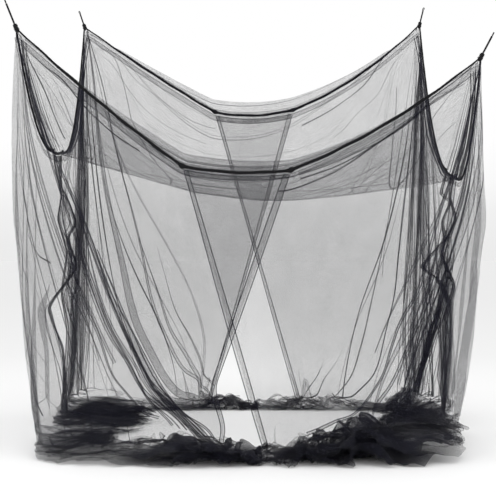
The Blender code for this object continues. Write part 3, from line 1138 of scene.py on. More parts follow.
    def gather(self, lines: np.ndarray, down: np.ndarray) -> np.ndarray:
        """The fine folds along the fold lines.

        Args:
            lines: Rows by columns, each point's fold line.
            down: Shares of the way down.

        Returns:
            Rows by columns, in metres outwards.
        """
        dice = np.random.default_rng(self.seed + 50)
        total = np.zeros_like(lines)
        for share in (0.6, 1.0, 1.7):
            beat = 2.0 * math.pi * self.gathers * share
            stray = 0.9 * np.sin(7.0 * lines + dice.uniform(0, 6)) + 0.8 * np.sin(
                3.0 * down + 5.0 * lines + dice.uniform(0, 6)
            )
            depth = 0.6 + 0.4 * np.sin(13.0 * lines + 2.0 * down + dice.uniform(0, 6))
            total += np.sin(beat * lines + stray + dice.uniform(0, 6)) * depth / share
        near = np.exp(-((lines - self.corner_share()) / GATHER_SPAN) ** 2)
        return GATHER_DEPTH * total * (0.35 + 0.65 * smooth(down, 0.0, 0.2)) * (0.35 + 0.9 * near)

    def heap(self, across: np.ndarray, share: np.ndarray, layer: np.ndarray,
             bend: np.ndarray) -> np.ndarray:
        """The heap's main shape, laid back and forth from the rim to the toe.

        Args:
            across: Rows by columns, places along the top edge.
            share: How far down the heap each row is.
            layer: The number of the layer each row is in.
            bend: How far across its layer each row is.

        Returns:
            Rows by columns by three.
        """
        x, y = self.column("x", across), self.column("y", across)
        run = np.stack([self.column("inner_x", across) - x, self.column("inner_y", across) - y], -1)
        rim = np.linalg.norm(run, axis=-1)
        inward = layer % 2 == 0
        goal = np.where(inward, rim, -self.column("toe", across))
        last = np.where(layer == 0, 0.0, np.where(inward, -self.column("toe", across), rim))
        reach = last + (goal - last) * bend
        waver = np.minimum(0.20 * np.abs(reach), HEAP_WAVER)
        beat = 13.0 + 2.0 * (layer % 3)
        reach = reach + waver * np.sin(2.0 * math.pi * beat * across + 2.1 * layer)
        slip = self.column("slip", across)
        slip = slip * (self.swing + (1.0 - self.swing) * smooth(share, 0.0, 0.5))
        lowered = 1.0 - 0.35 * np.maximum(reach, 0.0) / rim
        lump = 1.0 + 0.08 * self.main_wave(0.7 * across)
        height = self.column("height", across) * (1.0 - share) * lowered * lump
        return np.stack([
            x - CENTRE_X + run[..., 0] / rim * reach + slip,
            y - CENTRE_Y + run[..., 1] / rim * reach,
            height,
        ], axis=-1)

    def crumple(self, spots: np.ndarray, flat: np.ndarray, heap_rows: int) -> np.ndarray:
        """Crumples the heap, sharply where it lies loose.

        Args:
            spots: Points of the sheet.
            flat: Its flat cut.
            heap_rows: How many of its last rows lie in the heap.

        Returns:
            The crumpled points.
        """
        count = np.arange(heap_rows)
        loose = smooth((count + 1.0) / 9.0, 0.0, 1.0)[:, None, None]
        heap = slice(len(spots) - heap_rows, len(spots))
        deep = np.concatenate([flat[heap], np.zeros((*flat[heap].shape[:2], 1))], axis=-1)
        sizes, depths, heights = zip(HEAP_LUMPS, HEAP_FOLDS, HEAP_CRUMPLES)
        lump = Crumple(sizes[0], self.seed + 1).at(spots[heap])
        folds = Crumple(sizes[1], self.seed + 2).at(deep + 0.30 * spots[heap])
        fine = Crumple(sizes[2], self.seed + 3, sharp=True).at(deep + 0.25 * spots[heap])
        fields = (lump, folds, fine)
        shape = sum(depth * part for depth, part in zip(depths, fields))
        shape[..., 2] = sum(height * part[..., 2] for height, part in zip(heights, fields))
        calm = np.clip(self.column("dense", np.linspace(0, 1, spots.shape[1])) / 2.0, 0.35, 1.0)
        spots = spots.copy()
        spots[heap] += loose * shape * calm[None, :, None]
        spots[heap, :, 2] = np.abs(spots[heap, :, 2] - FLOOR_GAP) + FLOOR_GAP
        return spots

    def fan(self) -> List[Crease]:
        """The fine creases that spread from the corner down the sheet.

        Returns:
            The creases.
        """
        dice = np.random.default_rng(self.seed + 7)
        corner = self.corner_share()
        hung = self.hung()
        made: List[Crease] = []
        for side, count in enumerate(self.fans):
            span = -corner if side == 0 else 1.0 - corner
            upright = 1.0 if side == 2 else 0.0
            for number in range(count):
                if side == 0:
                    reach = 0.7 * float(dice.beta(0.9, 3.2))
                else:
                    reach = float(dice.beta(1.0, 1.5 + upright))
                bend = float(dice.uniform(0.8, 1.35))
                start, stop = 0.0, float(dice.choice([0.75, 1.0], p=[0.25, 0.75]))
                if number % 3 == 2:
                    start = float(dice.uniform(0.1, 0.45))
                line = []
                for d in np.linspace(start, stop, 7):
                    off = 0.012 + 0.93 * reach * d ** bend + 0.008 * math.sin(7 * d + number)
                    line.append((corner + span * off, hung * d))
                wide = float(dice.choice(FAN_WIDTHS, p=FAN_SHARES))
                made.append(Crease(
                    tuple(line), wide + 0.016 * upright, 0.8 + 0.7 * upright,
                    float(dice.choice([1.4, 2.4, 4.0])), (0.15, float(dice.choice([0.5, 1.0]))),
                    taut=2, stand=upright,
                ))
        return made

    def wisp_list(self) -> List[Crease]:
        """The twisted folds that lie across the heap.

        Returns:
            The creases.
        """
        dice = np.random.default_rng(self.seed + 9)
        hung = self.hung()
        made: List[Crease] = []
        for _ in range(self.wisps):
            start = float(dice.uniform(0.01, 0.9))
            long = float(dice.uniform(0.04, 0.16))
            row = hung + 0.005 + 0.34 * float(dice.uniform(0.0, 1.0)) ** 2
            climb = float(dice.uniform(-0.11, 0.11))
            turn = float(dice.uniform(0, 6))
            line = []
            for s in np.linspace(0.0, 1.0, 6):
                low = row + climb * s + 0.012 * math.sin(9 * s + turn)
                line.append((start + long * s, max(low, hung - 0.005)))
            wide = float(dice.choice(WISP_WIDTHS, p=WISP_SHARES))
            dark = min(float(self.column("dense", np.array(start + 0.5 * long))) / 2.2, 1.0)
            made.append(Crease(
                tuple(line), wide, 1.3 * dark, 1.0 + 3.5 * dark, (0.2, 0.2), taut=5))
        for _ in range(self.loops):
            start = 0.03 + 0.90 * float(dice.uniform(0.0, 1.0)) ** 2
            long = float(dice.uniform(0.03, 0.07)) * float(dice.choice([-1.0, 1.0]))
            row = hung + float(dice.uniform(0.0, 0.17))
            line = tuple(
                (start + long * s, row + 0.05 * math.sin(3.0 * s + 40.0 * start))
                for s in np.linspace(0.0, 1.0, 6)
            )
            made.append(Crease(
                line, float(dice.uniform(0.014, 0.034)), 0.5, float(dice.uniform(1.6, 3.4)),
                (0.3, 0.3), taut=5, stand=float(dice.uniform(0.3, 1.0)),
                arch=float(dice.uniform(0.006, 0.034)),
            ))
        return made

    def hem_list(self) -> List[Crease]:
        """The hems of the two openings and of the foot, folded back over the sheet.

        Returns:
            The creases.
        """
        whole = float(self.top["whole"])
        rows = np.linspace(0.004, 0.998, 24)
        hung = rows[:13]
        first, last = self.hem * 0.5 / whole, 1.0 - 0.009 / whole
        across = np.linspace(0.002, 0.998, 40)
        return [
            Crease(tuple((first, row) for row in rows), self.hem, 1.1, 5.0, (1.0, 1.0)),
            Crease(tuple((last, row) for row in hung), 0.022, 3.0, 7.0, (1.0, 0.6)),
            Crease(tuple((last, row) for row in rows[12:]), 0.014, 0.5, 2.6, (0.9, 1.0)),
            Crease(tuple((last - 0.004, row) for row in hung), 0.011, 2.0, 4.0, (0.4, 1.0),
                   stand=1.0),
            Crease(tuple((last - 0.014 - 0.008 * math.sin(40.0 * row), row) for row in hung),
                   0.020, 1.0, 3.0, (0.4, 1.0), stand=0.8),
            Crease(tuple((last - 0.030 + 0.010 * math.sin(33.0 * row), row) for row in hung),
                   0.010, 1.0, 3.0, (0.4, 1.0), stand=0.5),
            Crease(tuple((place, 0.985) for place in across), 0.014, 1.0, 4.0, (1.0, 1.0)),
            Crease(tuple((place, 0.008) for place in across), 0.022, 1.4, 2.2, (1.0, 1.0)),
        ]

    def build(self, finish: bpy.types.Material) -> bpy.types.Object:
        """Builds the curtain as one sheet.

        Args:
            finish: The net's material.

        Returns:
            The curtain.
        """
        self.edge()
        whole = float(self.top["whole"])
        heap_rows = self.layers * self.layer_rows
        rows = self.rows()
        places = np.broadcast_to(np.linspace(0.0, 1.0, self.columns), (rows, self.columns))
        drop = np.concatenate([
            np.linspace(0.0, 1.0, self.hang_rows), np.ones(heap_rows)
        ])
        down = np.broadcast_to(drop[:, None], places.shape)
        tops, foots = zip(*self.drift)
        landed = through(places, tops, foots)
        across = np.clip(places + (landed - places) * smooth(down, 0.15, 1.0), 0.0, 1.0)
        hang = slice(0, self.hang_rows)
        spots = np.zeros((*places.shape, 3))
        out = self.outward(across)
        stand = self.pleats(across[hang], down[hang]) + self.gather(places[hang], down[hang])
        spots[hang] = self.hang(across[hang], down[hang]) + out[hang] * stand[..., None]
        heap = slice(self.hang_rows, rows)
        count = np.arange(heap_rows)
        layer = np.broadcast_to((count // self.layer_rows)[:, None], places[heap].shape)
        bend = (count % self.layer_rows + 1.0) / self.layer_rows
        bend = np.broadcast_to(bend[:, None], places[heap].shape)
        share = np.broadcast_to(((count + 1.0) / heap_rows)[:, None], places[heap].shape)
        spots[heap] = self.heap(across[heap], share, layer, bend)
        spots = self.let_stray(spots, places)
        length = np.concatenate([[0.0], np.cumsum(
            np.median(np.linalg.norm(np.diff(spots, axis=0), axis=-1), axis=1))])
        flat = np.stack([places * whole, np.broadcast_to(length[:, None], places.shape)], -1)
        spots = self.keep_in(self.crumple(spots, flat, heap_rows))
        settled = smooth((count + 1.0) / 12.0, 0.0, 1.0)[:, None]
        inside = np.where(layer % 2 == 0, bend, 1.0 - bend)
        plies = np.ones(places.shape)
        plies[heap] += self.lies(spots[heap], across[heap], inside) * settled
        plies = np.maximum(plies, LEAST_PLIES)
        ways, rest = out.copy(), settled[..., None]
        ways[heap] = np.array([0.0, 0.0, 1.0]) * rest + out[heap] * (1.0 - rest)
        ways /= np.linalg.norm(ways, axis=-1, keepdims=True)
        open_to = (self.hang_rows + 4.0) / rows
        cloth = Cloth(Patch(spots, flat, plies), ways, open_to, seed=self.seed)
        for crease in [*self.hem_list(), *self.creases, *self.fan(), *self.wisp_list()]:
            cloth.press(crease)
        name = "net_curtain_" + self.name
        piece = add(name, cloth.mesh(name), finish)
        join(piece, "curtain_" + self.name)
        area = sum(face.area for face in piece.data.polygons)
        log.info("%s %d faces, %.2f m2, %.2f by %.2f m", name, len(piece.data.polygons), area,
                 whole, float(length[-1]))
        return piece

    def lies(self, spots: np.ndarray, across: np.ndarray, inside: np.ndarray) -> np.ndarray:
        """How much denser than one ply the heap is.

        Args:
            spots: Points of the heap.
            across: Their places along the top edge.
            inside: How far they lie from the toe, 0, to the inner rim, 1.

        Returns:
            The plies to be added at each point, before the heap has settled.
        """
        most = np.exp(-((inside - self.core) / HEAP_CORE) ** 2)
        patchy = 1.0 + HEAP_PATCHES[1] * Crumple(HEAP_PATCHES[0], self.seed + 4).at(spots)[..., 0]
        lift = self.column("dense", across) - 1.0
        share = LEAST_PLIES + (1.0 - LEAST_PLIES) * most
        return np.where(lift > 0.0, lift * share, lift) * patchy

    def let_stray(self, spots: np.ndarray, places: np.ndarray) -> np.ndarray:
        """Lets the last hem stray in and out on its way down.

        Args:
            spots: Points of the sheet.
            places: Each point's fold line.

        Returns:
            The strayed points.
        """
        heights, metres = zip(*self.stray)
        share = smooth(places, 0.84, 0.99)
        level = np.clip(spots[..., 2], heights[0], heights[-1])
        off = 0.25 * through(level, heights, metres) + 0.75 * np.interp(level, heights, metres)
        strayed = spots.copy()
        strayed[..., 0] += off * share
        strayed[..., 1] += 0.35 * np.abs(off) * share * self.end_lean
        return strayed

    def keep_in(self, spots: np.ndarray) -> np.ndarray:
        """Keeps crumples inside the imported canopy's own plan.

        Args:
            spots: Points of the sheet.

        Returns:
            The same points, drawn in where they stray.
        """
        low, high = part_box("curtain_" + self.name)
        inner = INNER_ROOM * math.copysign(1.0, CORNERS[self.name].x)
        west, east = max(-inner, 0.0), max(inner, 0.0)
        spots[..., 0] = np.clip(
            spots[..., 0], low[0] - OUTER_ROOM - east, high[0] + OUTER_ROOM + west)
        spots[..., 1] = np.clip(spots[..., 1], low[1] - OUTER_ROOM, high[1] + OUTER_ROOM)
        return spots


HEAP_ROWS = (0.475, 0.72)  # which share of a curtain's rows lies on top of its heap


def drawn(points: Sequence[Tuple[float, float]], width: float, plies: float, edge: float,
          part: Tuple[float, float] = (0.0, 1.0), start: float = 0.3, end: float = 1.0) -> Crease:
    """A main crease, given by the places where it is seen in the frame.

    Args:
        points: Those places.
        width: How wide it is.
        plies: How many plies lie over the sheet between its edges.
        edge: How many plies its edges are as dense as.
        part: Which part of the sheet it lies on.
        start: Its width at its start, as a share.
        end: Its width at its end, as a share.

    Returns:
        The crease.
    """
    return Crease(tuple(points), width, plies, edge, (start, end), Drawn.AS_SEEN, part, taut=3)


def laid(points: Sequence[Tuple[float, float]], width: float, plies: float, edge: float,
         stand: float = 0.4) -> Crease:
    """A twisted fold that lies on the heap, given by the places where it is seen in the frame.

    Args:
        points: Those places.
        width: How wide it is.
        plies: How many plies lie over the heap between its edges.
        edge: How many plies its edges are as dense as.
        stand: How far its width stands up.

    Returns:
        The crease.
    """
    return Crease(tuple(points), width, plies, edge, (0.4, 0.5), Drawn.AS_SEEN, (0.0, 1.0),
                  HEAP_ROWS, 6, stand, 0.006)


def bunch(west: Sequence[Tuple[float, float]], east: Sequence[Tuple[float, float]], count: int,
          width: float, plies: float, edge: float, part: Tuple[float, float]) -> Tuple[Crease, ...]:
    """Several creases side by side, unevenly, between two lines seen in the frame.

    Args:
        west: Places along the left line.
        east: As many places along the right line.
        count: How many creases there are.
        width: How wide the widest is.
        plies: How many plies lie over the sheet between their edges.
        edge: How many plies their edges are as dense as.
        part: Which part of the sheet they lie on.

    Returns:
        The creases.
    """
    made = []
    for number in range(count):
        share = (number + 0.5 + 0.3 * math.sin(5.0 * number)) / count
        line = [
            (a[0] + (b[0] - a[0]) * (share + 0.05 * math.sin(2.0 * step + 3.0 * number)),
             a[1] + (b[1] - a[1]) * share)
            for step, (a, b) in enumerate(zip(west, east))
        ]
        wide = width * (0.45 + 0.55 * abs(math.sin(2.3 * number + 1.0)))
        made.append(drawn(line, wide, plies, edge, part, 0.12, 0.8))
    return tuple(made)


# Parts of a curtain across its width: its long part, its turn round the corner and its side.
LONG = (0.0, 0.50)
TURN = (0.38, 0.66)
SIDE = (0.52, 1.0)


CURTAINS: Tuple[NetCurtain, ...] = (
    NetCurtain(
        name="front_right", route=(("front", 8, 20), ("right", 0, 9)), start_lean=1, end_lean=-1,
        seed=11, fans=(5, 2, 0), core=0.58, hem=0.024, bulge=0.016,
        feet=(
            Foot(0.00, 0.062, -0.735, 1.0, 0.060, -0.035, (0.090, -0.650), 0.080, 1.3),
            Foot(0.12, 0.170, -0.740, 1.1, 0.060, 0.00, (0.200, -0.600), 0.110, 2.2),
            Foot(0.26, 0.350, -0.745, 1.5, 0.110, 0.00, (0.360, -0.480), 0.120, 5.2),
            Foot(0.42, 0.580, -0.740, 2.0, 0.145, 0.00, (0.490, -0.330), 0.115, 6.4),
            Foot(0.49, 0.700, -0.725, 2.2, 0.150, 0.00, (0.530, -0.280), 0.090, 5.4),
            Foot(0.56, 0.810, -0.680, 2.4, 0.150, 0.00, (0.575, -0.225), 0.050, 0.7),
            Foot(0.70, 0.850, -0.440, 2.2, 0.145, 0.00, (0.600, -0.120), 0.030, 0.7),
            Foot(0.86, 0.880, -0.220, 1.6, 0.120, 0.00, (0.630, -0.040), 0.030, 1.8),
            Foot(1.00, 0.885, -0.040, 1.2, 0.090, 0.00, (0.700, 0.010), 0.040, 1.6),
        ),
        swing=0.0,
        drift=((0.0, 0.0), (0.2, 0.16), (0.4, 0.30), (0.55, 0.45), (0.8, 0.75), (1.0, 1.0)),
        stray=((0.10, 0.0), (0.41, 0.035), (0.567, 0.030), (0.674, -0.020), (0.735, -0.110),
               (0.86, -0.005), (0.937, -0.020), (1.03, 0.015), (1.067, -0.030), (1.11, -0.020),
               (1.17, 0.0)),
        creases=(
            drawn(((480, 62), (466, 120), (440, 210), (418, 290), (401, 320), (390, 352),
                  (382, 379), (356, 411), (336, 422), (307, 435)), 0.012, 1.4, 4.5, (0.0, 0.62)),
            drawn(((480, 62), (470, 110), (455, 180), (445, 244), (425, 308), (407, 347),
                  (393, 380), (375, 408)), 0.016, 1.4, 3.5, (0.0, 0.66)),
            drawn(((480, 62), (472, 140), (465, 195), (457, 226), (447, 262), (436, 331),
                  (413, 380), (395, 405)), 0.026, 1.2, 3.2, (0.0, 0.56)),
            drawn(((480, 62), (470, 140), (461, 200), (450, 240), (446, 262), (449, 300),
                  (447, 350), (434, 400)), 0.012, 1.0, 3.0, (0.2, 0.56)),
            drawn(((483, 120), (482, 246), (479, 300), (475, 340), (471, 380)), 0.005, 0.3, 1.5,
                  (0.40, 0.75), end=0.8),
            drawn(((483, 200), (481, 260), (477, 320), (470, 360), (466, 392)), 0.004, 0.8, 3.4,
                  (0.40, 0.75)),
            drawn(((479, 130), (473, 200), (470, 280), (462, 340), (452, 395)), 0.003, 0.4, 2.6,
                  (0.40, 0.75)),
            laid(((300, 441), (312, 430), (330, 420), (348, 411), (372, 404)), 0.012, 1.6, 4.0,
                 0.5),
            laid(((340, 440), (362, 428), (388, 424), (412, 430), (436, 437)), 0.040, 4.0, 4.5,
                 0.9),
            laid(((330, 450), (360, 444), (392, 440), (418, 444), (438, 452)), 0.040, 4.0, 4.5,
                 0.9),
            laid(((380, 415), (400, 409), (420, 414), (436, 428), (463, 434)), 0.020, 2.4, 4.5,
                 0.6),
            laid(((430, 440), (444, 447), (456, 458)), 0.016, 1.6, 3.8, 0.4),
            *bunch(((440, 225), (430, 270), (412, 330), (396, 385)), ((458, 235), (456, 280),
                   (458, 330), (454, 392)), 9, 0.020, 1.2, 2.4, (0.0, 0.55)),
            *bunch(((446, 300), (442, 345), (438, 395)), ((468, 300), (468, 350), (464, 395)), 8,
                   0.026, 1.1, 2.2, (0.0, 0.55)),
            *bunch(((412, 320), (408, 360), (404, 398)), ((430, 300), (432, 350), (436, 396)), 7,
                   0.026, 1.3, 2.4, (0.0, 0.55)),
        ),
    ),
    NetCurtain(
        name="back_right", route=(("back", 8, 20), ("right", 16, 7)), start_lean=-1, end_lean=1,
        seed=22, fans=(5, 6, 6), core=0.55, hem=0.020, bulge=0.004,
        feet=(
            Foot(0.00, 0.250, 0.705, 1.0, 0.060, -0.215, (0.250, 0.640), 0.050, 1.3),
            Foot(0.16, 0.370, 0.705, 1.2, 0.062, -0.10, (0.370, 0.630), 0.055, 1.4),
            Foot(0.32, 0.550, 0.700, 1.8, 0.060, 0.00, (0.540, 0.610), 0.055, 1.1),
            Foot(0.48, 0.820, 0.670, 2.2, 0.090, 0.00, (0.720, 0.520), 0.050, 2.0),
            Foot(0.62, 0.895, 0.470, 1.8, 0.090, 0.00, (0.690, 0.380), 0.030, 1.7),
            Foot(0.80, 0.900, 0.270, 1.6, 0.085, 0.00, (0.680, 0.250), 0.030, 1.5),
            Foot(1.00, 0.895, 0.110, 1.2, 0.080, 0.00, (0.710, 0.120), 0.030, 1.2),
        ),
        swing=0.0,
        drift=((0.0, 0.0), (0.2, 0.14), (0.36, 0.22), (0.48, 0.44), (0.8, 0.75), (1.0, 1.0)),
        stray=((0.10, 0.0), (0.50, -0.030), (0.65, 0.010), (0.80, -0.050), (0.95, 0.010),
               (1.05, -0.020), (1.17, 0.0)),
        creases=(
            drawn(((418, 30), (405, 110), (392, 190), (385, 244), (382, 276)), 0.003, 0.5, 2.2,
                  LONG),
            drawn(((419, 30), (413, 110), (405, 188), (398, 252), (394, 292), (386, 328),
                  (374, 376), (358, 393), (339, 401)), 0.007, 1.5, 5.0, LONG),
            drawn(((400, 150), (385, 240), (372, 303), (361, 344), (350, 380), (330, 398)), 0.006,
                  0.8, 3.0, LONG, 0.2),
            drawn(((345, 345), (336, 366), (322, 385), (305, 399)), 0.006, 1.0, 3.5, LONG, 0.1),
            drawn(((325, 358), (318, 376), (306, 392)), 0.005, 1.0, 3.0, LONG, 0.1),
            *bunch(((419, 32), (415, 110), (411, 188), (408, 260), (402, 331), (401, 396)),
                   ((420, 32), (421, 110), (422, 188), (422, 292), (422, 331), (424, 396)), 7,
                   0.020, 1.2, 2.6, (0.0, 0.56)),
            *bunch(((419, 30), (424, 110), (427, 188), (426, 292), (424, 331), (426, 396)),
                   ((421, 30), (431, 110), (438, 188), (438, 292), (438, 331), (436, 396)), 8,
                   0.030, 1.1, 2.4, SIDE),
            drawn(((420, 30), (422, 110), (427, 190), (428, 290), (430, 392)), 0.012, 1.4, 3.0,
                  TURN),
        ),
    ),
    NetCurtain(
        name="back_left", route=(("back", 12, 0), ("left", 16, 7)), start_lean=1, end_lean=-1,
        seed=33, fans=(8, 6, 6), core=0.62, hem=0.020, bulge=0.004,
        feet=(
            Foot(0.00, -0.190, 0.705, 1.0, 0.065, 0.225, (-0.190, 0.640), 0.050, 1.6),
            Foot(0.16, -0.310, 0.705, 1.4, 0.065, 0.10, (-0.310, 0.630), 0.055, 1.6),
            Foot(0.32, -0.500, 0.700, 2.0, 0.060, 0.00, (-0.470, 0.600), 0.055, 1.1),
            Foot(0.48, -0.790, 0.680, 2.4, 0.105, 0.00, (-0.600, 0.480), 0.050, 0.9),
            Foot(0.62, -0.865, 0.480, 2.0, 0.080, 0.00, (-0.540, 0.340), 0.040, 1.1),
            Foot(0.82, -0.870, 0.260, 1.6, 0.080, 0.00, (-0.480, 0.200), 0.040, 1.5),
            Foot(1.00, -0.865, 0.100, 1.2, 0.085, 0.00, (-0.560, 0.080), 0.040, 1.2),
        ),
        swing=0.0,
        drift=((0.0, 0.0), (0.2, 0.08), (0.38, 0.16), (0.48, 0.42), (0.8, 0.75), (1.0, 1.0)),
        stray=((0.10, 0.0), (0.45, 0.030), (0.62, 0.010), (0.80, 0.045), (0.95, 0.010),
               (1.05, 0.030), (1.20, 0.0)),
        creases=(
            drawn(((86, 32), (95, 89), (102, 156), (105, 180), (121, 260), (132, 308), (144, 339),
                   (167, 380), (186, 396), (207, 402)), 0.034, 1.9, 3.2, LONG, 0.25),
            drawn(((87, 34), (105, 99), (124, 177), (139, 236), (150, 292), (164, 331), (187, 371),
                   (215, 395), (239, 399)), 0.015, 1.0, 4.0, LONG, 0.25),
            drawn(((139, 239), (157, 292), (175, 339), (196, 373), (222, 396)), 0.022, 1.0, 3.5,
                  LONG, 0.15),
            drawn(((157, 244), (167, 284), (180, 320), (201, 363), (225, 390)), 0.010, 0.6, 3.0,
                  LONG, 0.2),
            *bunch(((84, 32), (82, 90), (80, 160), (79, 240), (78, 320), (77, 395)),
                   ((86, 32), (87, 90), (88, 160), (88, 240), (88, 320), (87, 395)), 5, 0.020, 1.4,
                   3.4, (0.0, 0.56)),
            *bunch(((83, 30), (72, 90), (67, 160), (65, 240), (65, 320), (66, 395)),
                   ((84, 30), (82, 90), (80, 160), (79, 240), (78, 320), (77, 395)), 7, 0.036, 1.2,
                   3.4, SIDE),
            drawn(((85, 30), (84, 120), (82, 220), (81, 320), (80, 396)), 0.010, 1.4, 3.6, TURN),
            laid(((72, 410), (85, 405), (98, 408), (112, 410), (124, 413)), 0.030, 4.0, 4.5, 0.8),
            laid(((74, 418), (90, 415), (104, 417), (118, 420)), 0.034, 4.0, 4.5, 0.8),
            laid(((100, 414), (124, 412), (140, 414), (155, 420)), 0.012, 2.0, 4.5, 0.6),
            laid(((108, 398), (118, 396), (130, 400), (140, 405), (153, 414)), 0.012, 1.4, 4.5,
                 0.6),
            laid(((120, 424), (134, 421), (146, 417), (154, 421)), 0.014, 3.0, 4.5, 0.6),
        ),
    ),
    NetCurtain(
        name="front_left", route=(("front", 12, 0), ("left", 0, 9)), start_lean=-1, end_lean=1,
        seed=44, fans=(9, 3, 0), core=0.60, hem=0.024, bulge=0.022,
        feet=(
            Foot(0.00, -0.205, -0.735, 1.0, 0.080, 0.235, (-0.205, -0.640), 0.100, 6.0),
            Foot(0.14, -0.320, -0.745, 1.2, 0.085, 0.12, (-0.320, -0.610), 0.130, 5.2),
            Foot(0.30, -0.500, -0.750, 1.8, 0.065, 0.00, (-0.420, -0.515), 0.090, 1.6),
            Foot(0.44, -0.680, -0.745, 2.2, 0.050, 0.00, (-0.520, -0.440), 0.070, 0.6),
            Foot(0.57, -0.800, -0.700, 2.6, 0.050, 0.00, (-0.585, -0.365), 0.022, 0.5),
            Foot(0.72, -0.850, -0.460, 2.0, 0.060, 0.00, (-0.585, -0.260), 0.018, 0.6),
            Foot(0.87, -0.870, -0.220, 1.6, 0.075, 0.00, (-0.560, -0.120), 0.022, 0.8),
            Foot(1.00, -0.865, -0.040, 1.2, 0.080, 0.00, (-0.560, -0.010), 0.030, 0.7),
        ),
        swing=0.45,
        drift=((0.0, 0.0), (0.2, 0.12), (0.4, 0.26), (0.55, 0.46), (0.8, 0.75), (1.0, 1.0)),
        stray=((0.10, 0.060), (0.371, 0.040), (0.55, -0.032), (0.73, 0.085), (0.869, 0.040),
               (0.932, 0.072), (1.04, 0.035), (1.10, 0.004), (1.22, 0.0)),
        creases=(
            drawn(((17, 34), (33, 90), (52, 150), (66, 185), (80, 212), (96, 257), (112, 300),
                  (128, 339), (148, 380), (170, 405), (191, 428), (207, 440)), 0.014, 1.5, 4.0,
                  (0.0, 0.62)),
            drawn(((97, 250), (113, 290), (131, 335), (150, 375), (170, 402), (190, 425),
                  (212, 443)), 0.034, 1.8, 4.0, (0.0, 0.5), 0.15),
            drawn(((17, 34), (40, 120), (62, 200), (81, 252), (99, 304), (115, 339), (136, 380),
                   (160, 405), (185, 425)), 0.012, 1.2, 3.5, (0.0, 0.62)),
            drawn(((60, 200), (83, 298), (99, 339), (115, 380), (140, 408), (159, 418)), 0.010, 0.8,
                  3.2, (0.0, 0.62)),
            *bunch(((52, 150), (70, 212), (88, 280), (110, 339), (140, 395), (170, 425)),
                   ((66, 160), (97, 250), (120, 310), (148, 365), (180, 405), (215, 440)), 6, 0.012,
                   1.0, 3.0, (0.0, 0.62)),
            drawn(((128, 339), (150, 380), (172, 407), (196, 430), (228, 443)), 0.020, 1.4, 4.0,
                  (0.0, 0.5), 0.2),
            drawn(((140, 350), (159, 385), (183, 414), (212, 436), (240, 444)), 0.009, 1.2, 4.5,
                  (0.0, 0.5), 0.2),
            drawn(((17, 34), (20, 100), (20, 180), (23, 246), (27, 300), (33, 345), (40, 392),
                  (43, 415)), 0.007, 1.2, 4.0, (0.36, 0.8)),
            drawn(((17, 34), (26, 100), (32, 180), (38, 240), (42, 300), (45, 345), (50, 400)),
                  0.006, 0.8, 3.4, (0.36, 0.9)),
            drawn(((40, 300), (46, 350), (56, 390), (62, 418)), 0.004, 0.8, 3.0, (0.3, 1.0)),
            drawn(((44, 385), (50, 410), (60, 435), (64, 446)), 0.004, 0.8, 3.0, (0.3, 1.0)),
            drawn(((18, 34), (30, 110), (39, 180), (45, 236), (54, 263)), 0.006, 1.0, 3.5,
                  (0.3, 0.9)),
            drawn(((14, 100), (14, 196), (18, 276), (24, 331), (32, 380), (38, 430)), 0.004, 0.3,
                  1.4, (0.36, 0.7)),
            laid(((48, 452), (60, 449), (76, 446), (96, 440), (118, 431)), 0.020, 2.6, 3.8, 0.8),
            laid(((44, 455), (58, 452), (78, 449), (100, 441), (125, 433), (150, 428)), 0.007, 1.6,
                 3.5),
            laid(((42, 455), (54, 460), (76, 462), (102, 464), (140, 463)), 0.004, 0.6, 3.0, 0.0),
            laid(((46, 447), (70, 456), (98, 461), (130, 458), (165, 462)), 0.010, 0.8, 2.6),
            laid(((80, 455), (96, 462), (112, 455), (128, 447)), 0.007, 0.8, 3.0),
            laid(((120, 450), (140, 443), (158, 447), (176, 440)), 0.012, 1.0, 3.0),
            laid(((60, 440), (72, 432), (88, 436), (104, 430)), 0.014, 0.8, 3.0),
            laid(((128, 434), (146, 432), (160, 438), (172, 446)), 0.010, 1.2, 3.6),
        ),
    ),
)


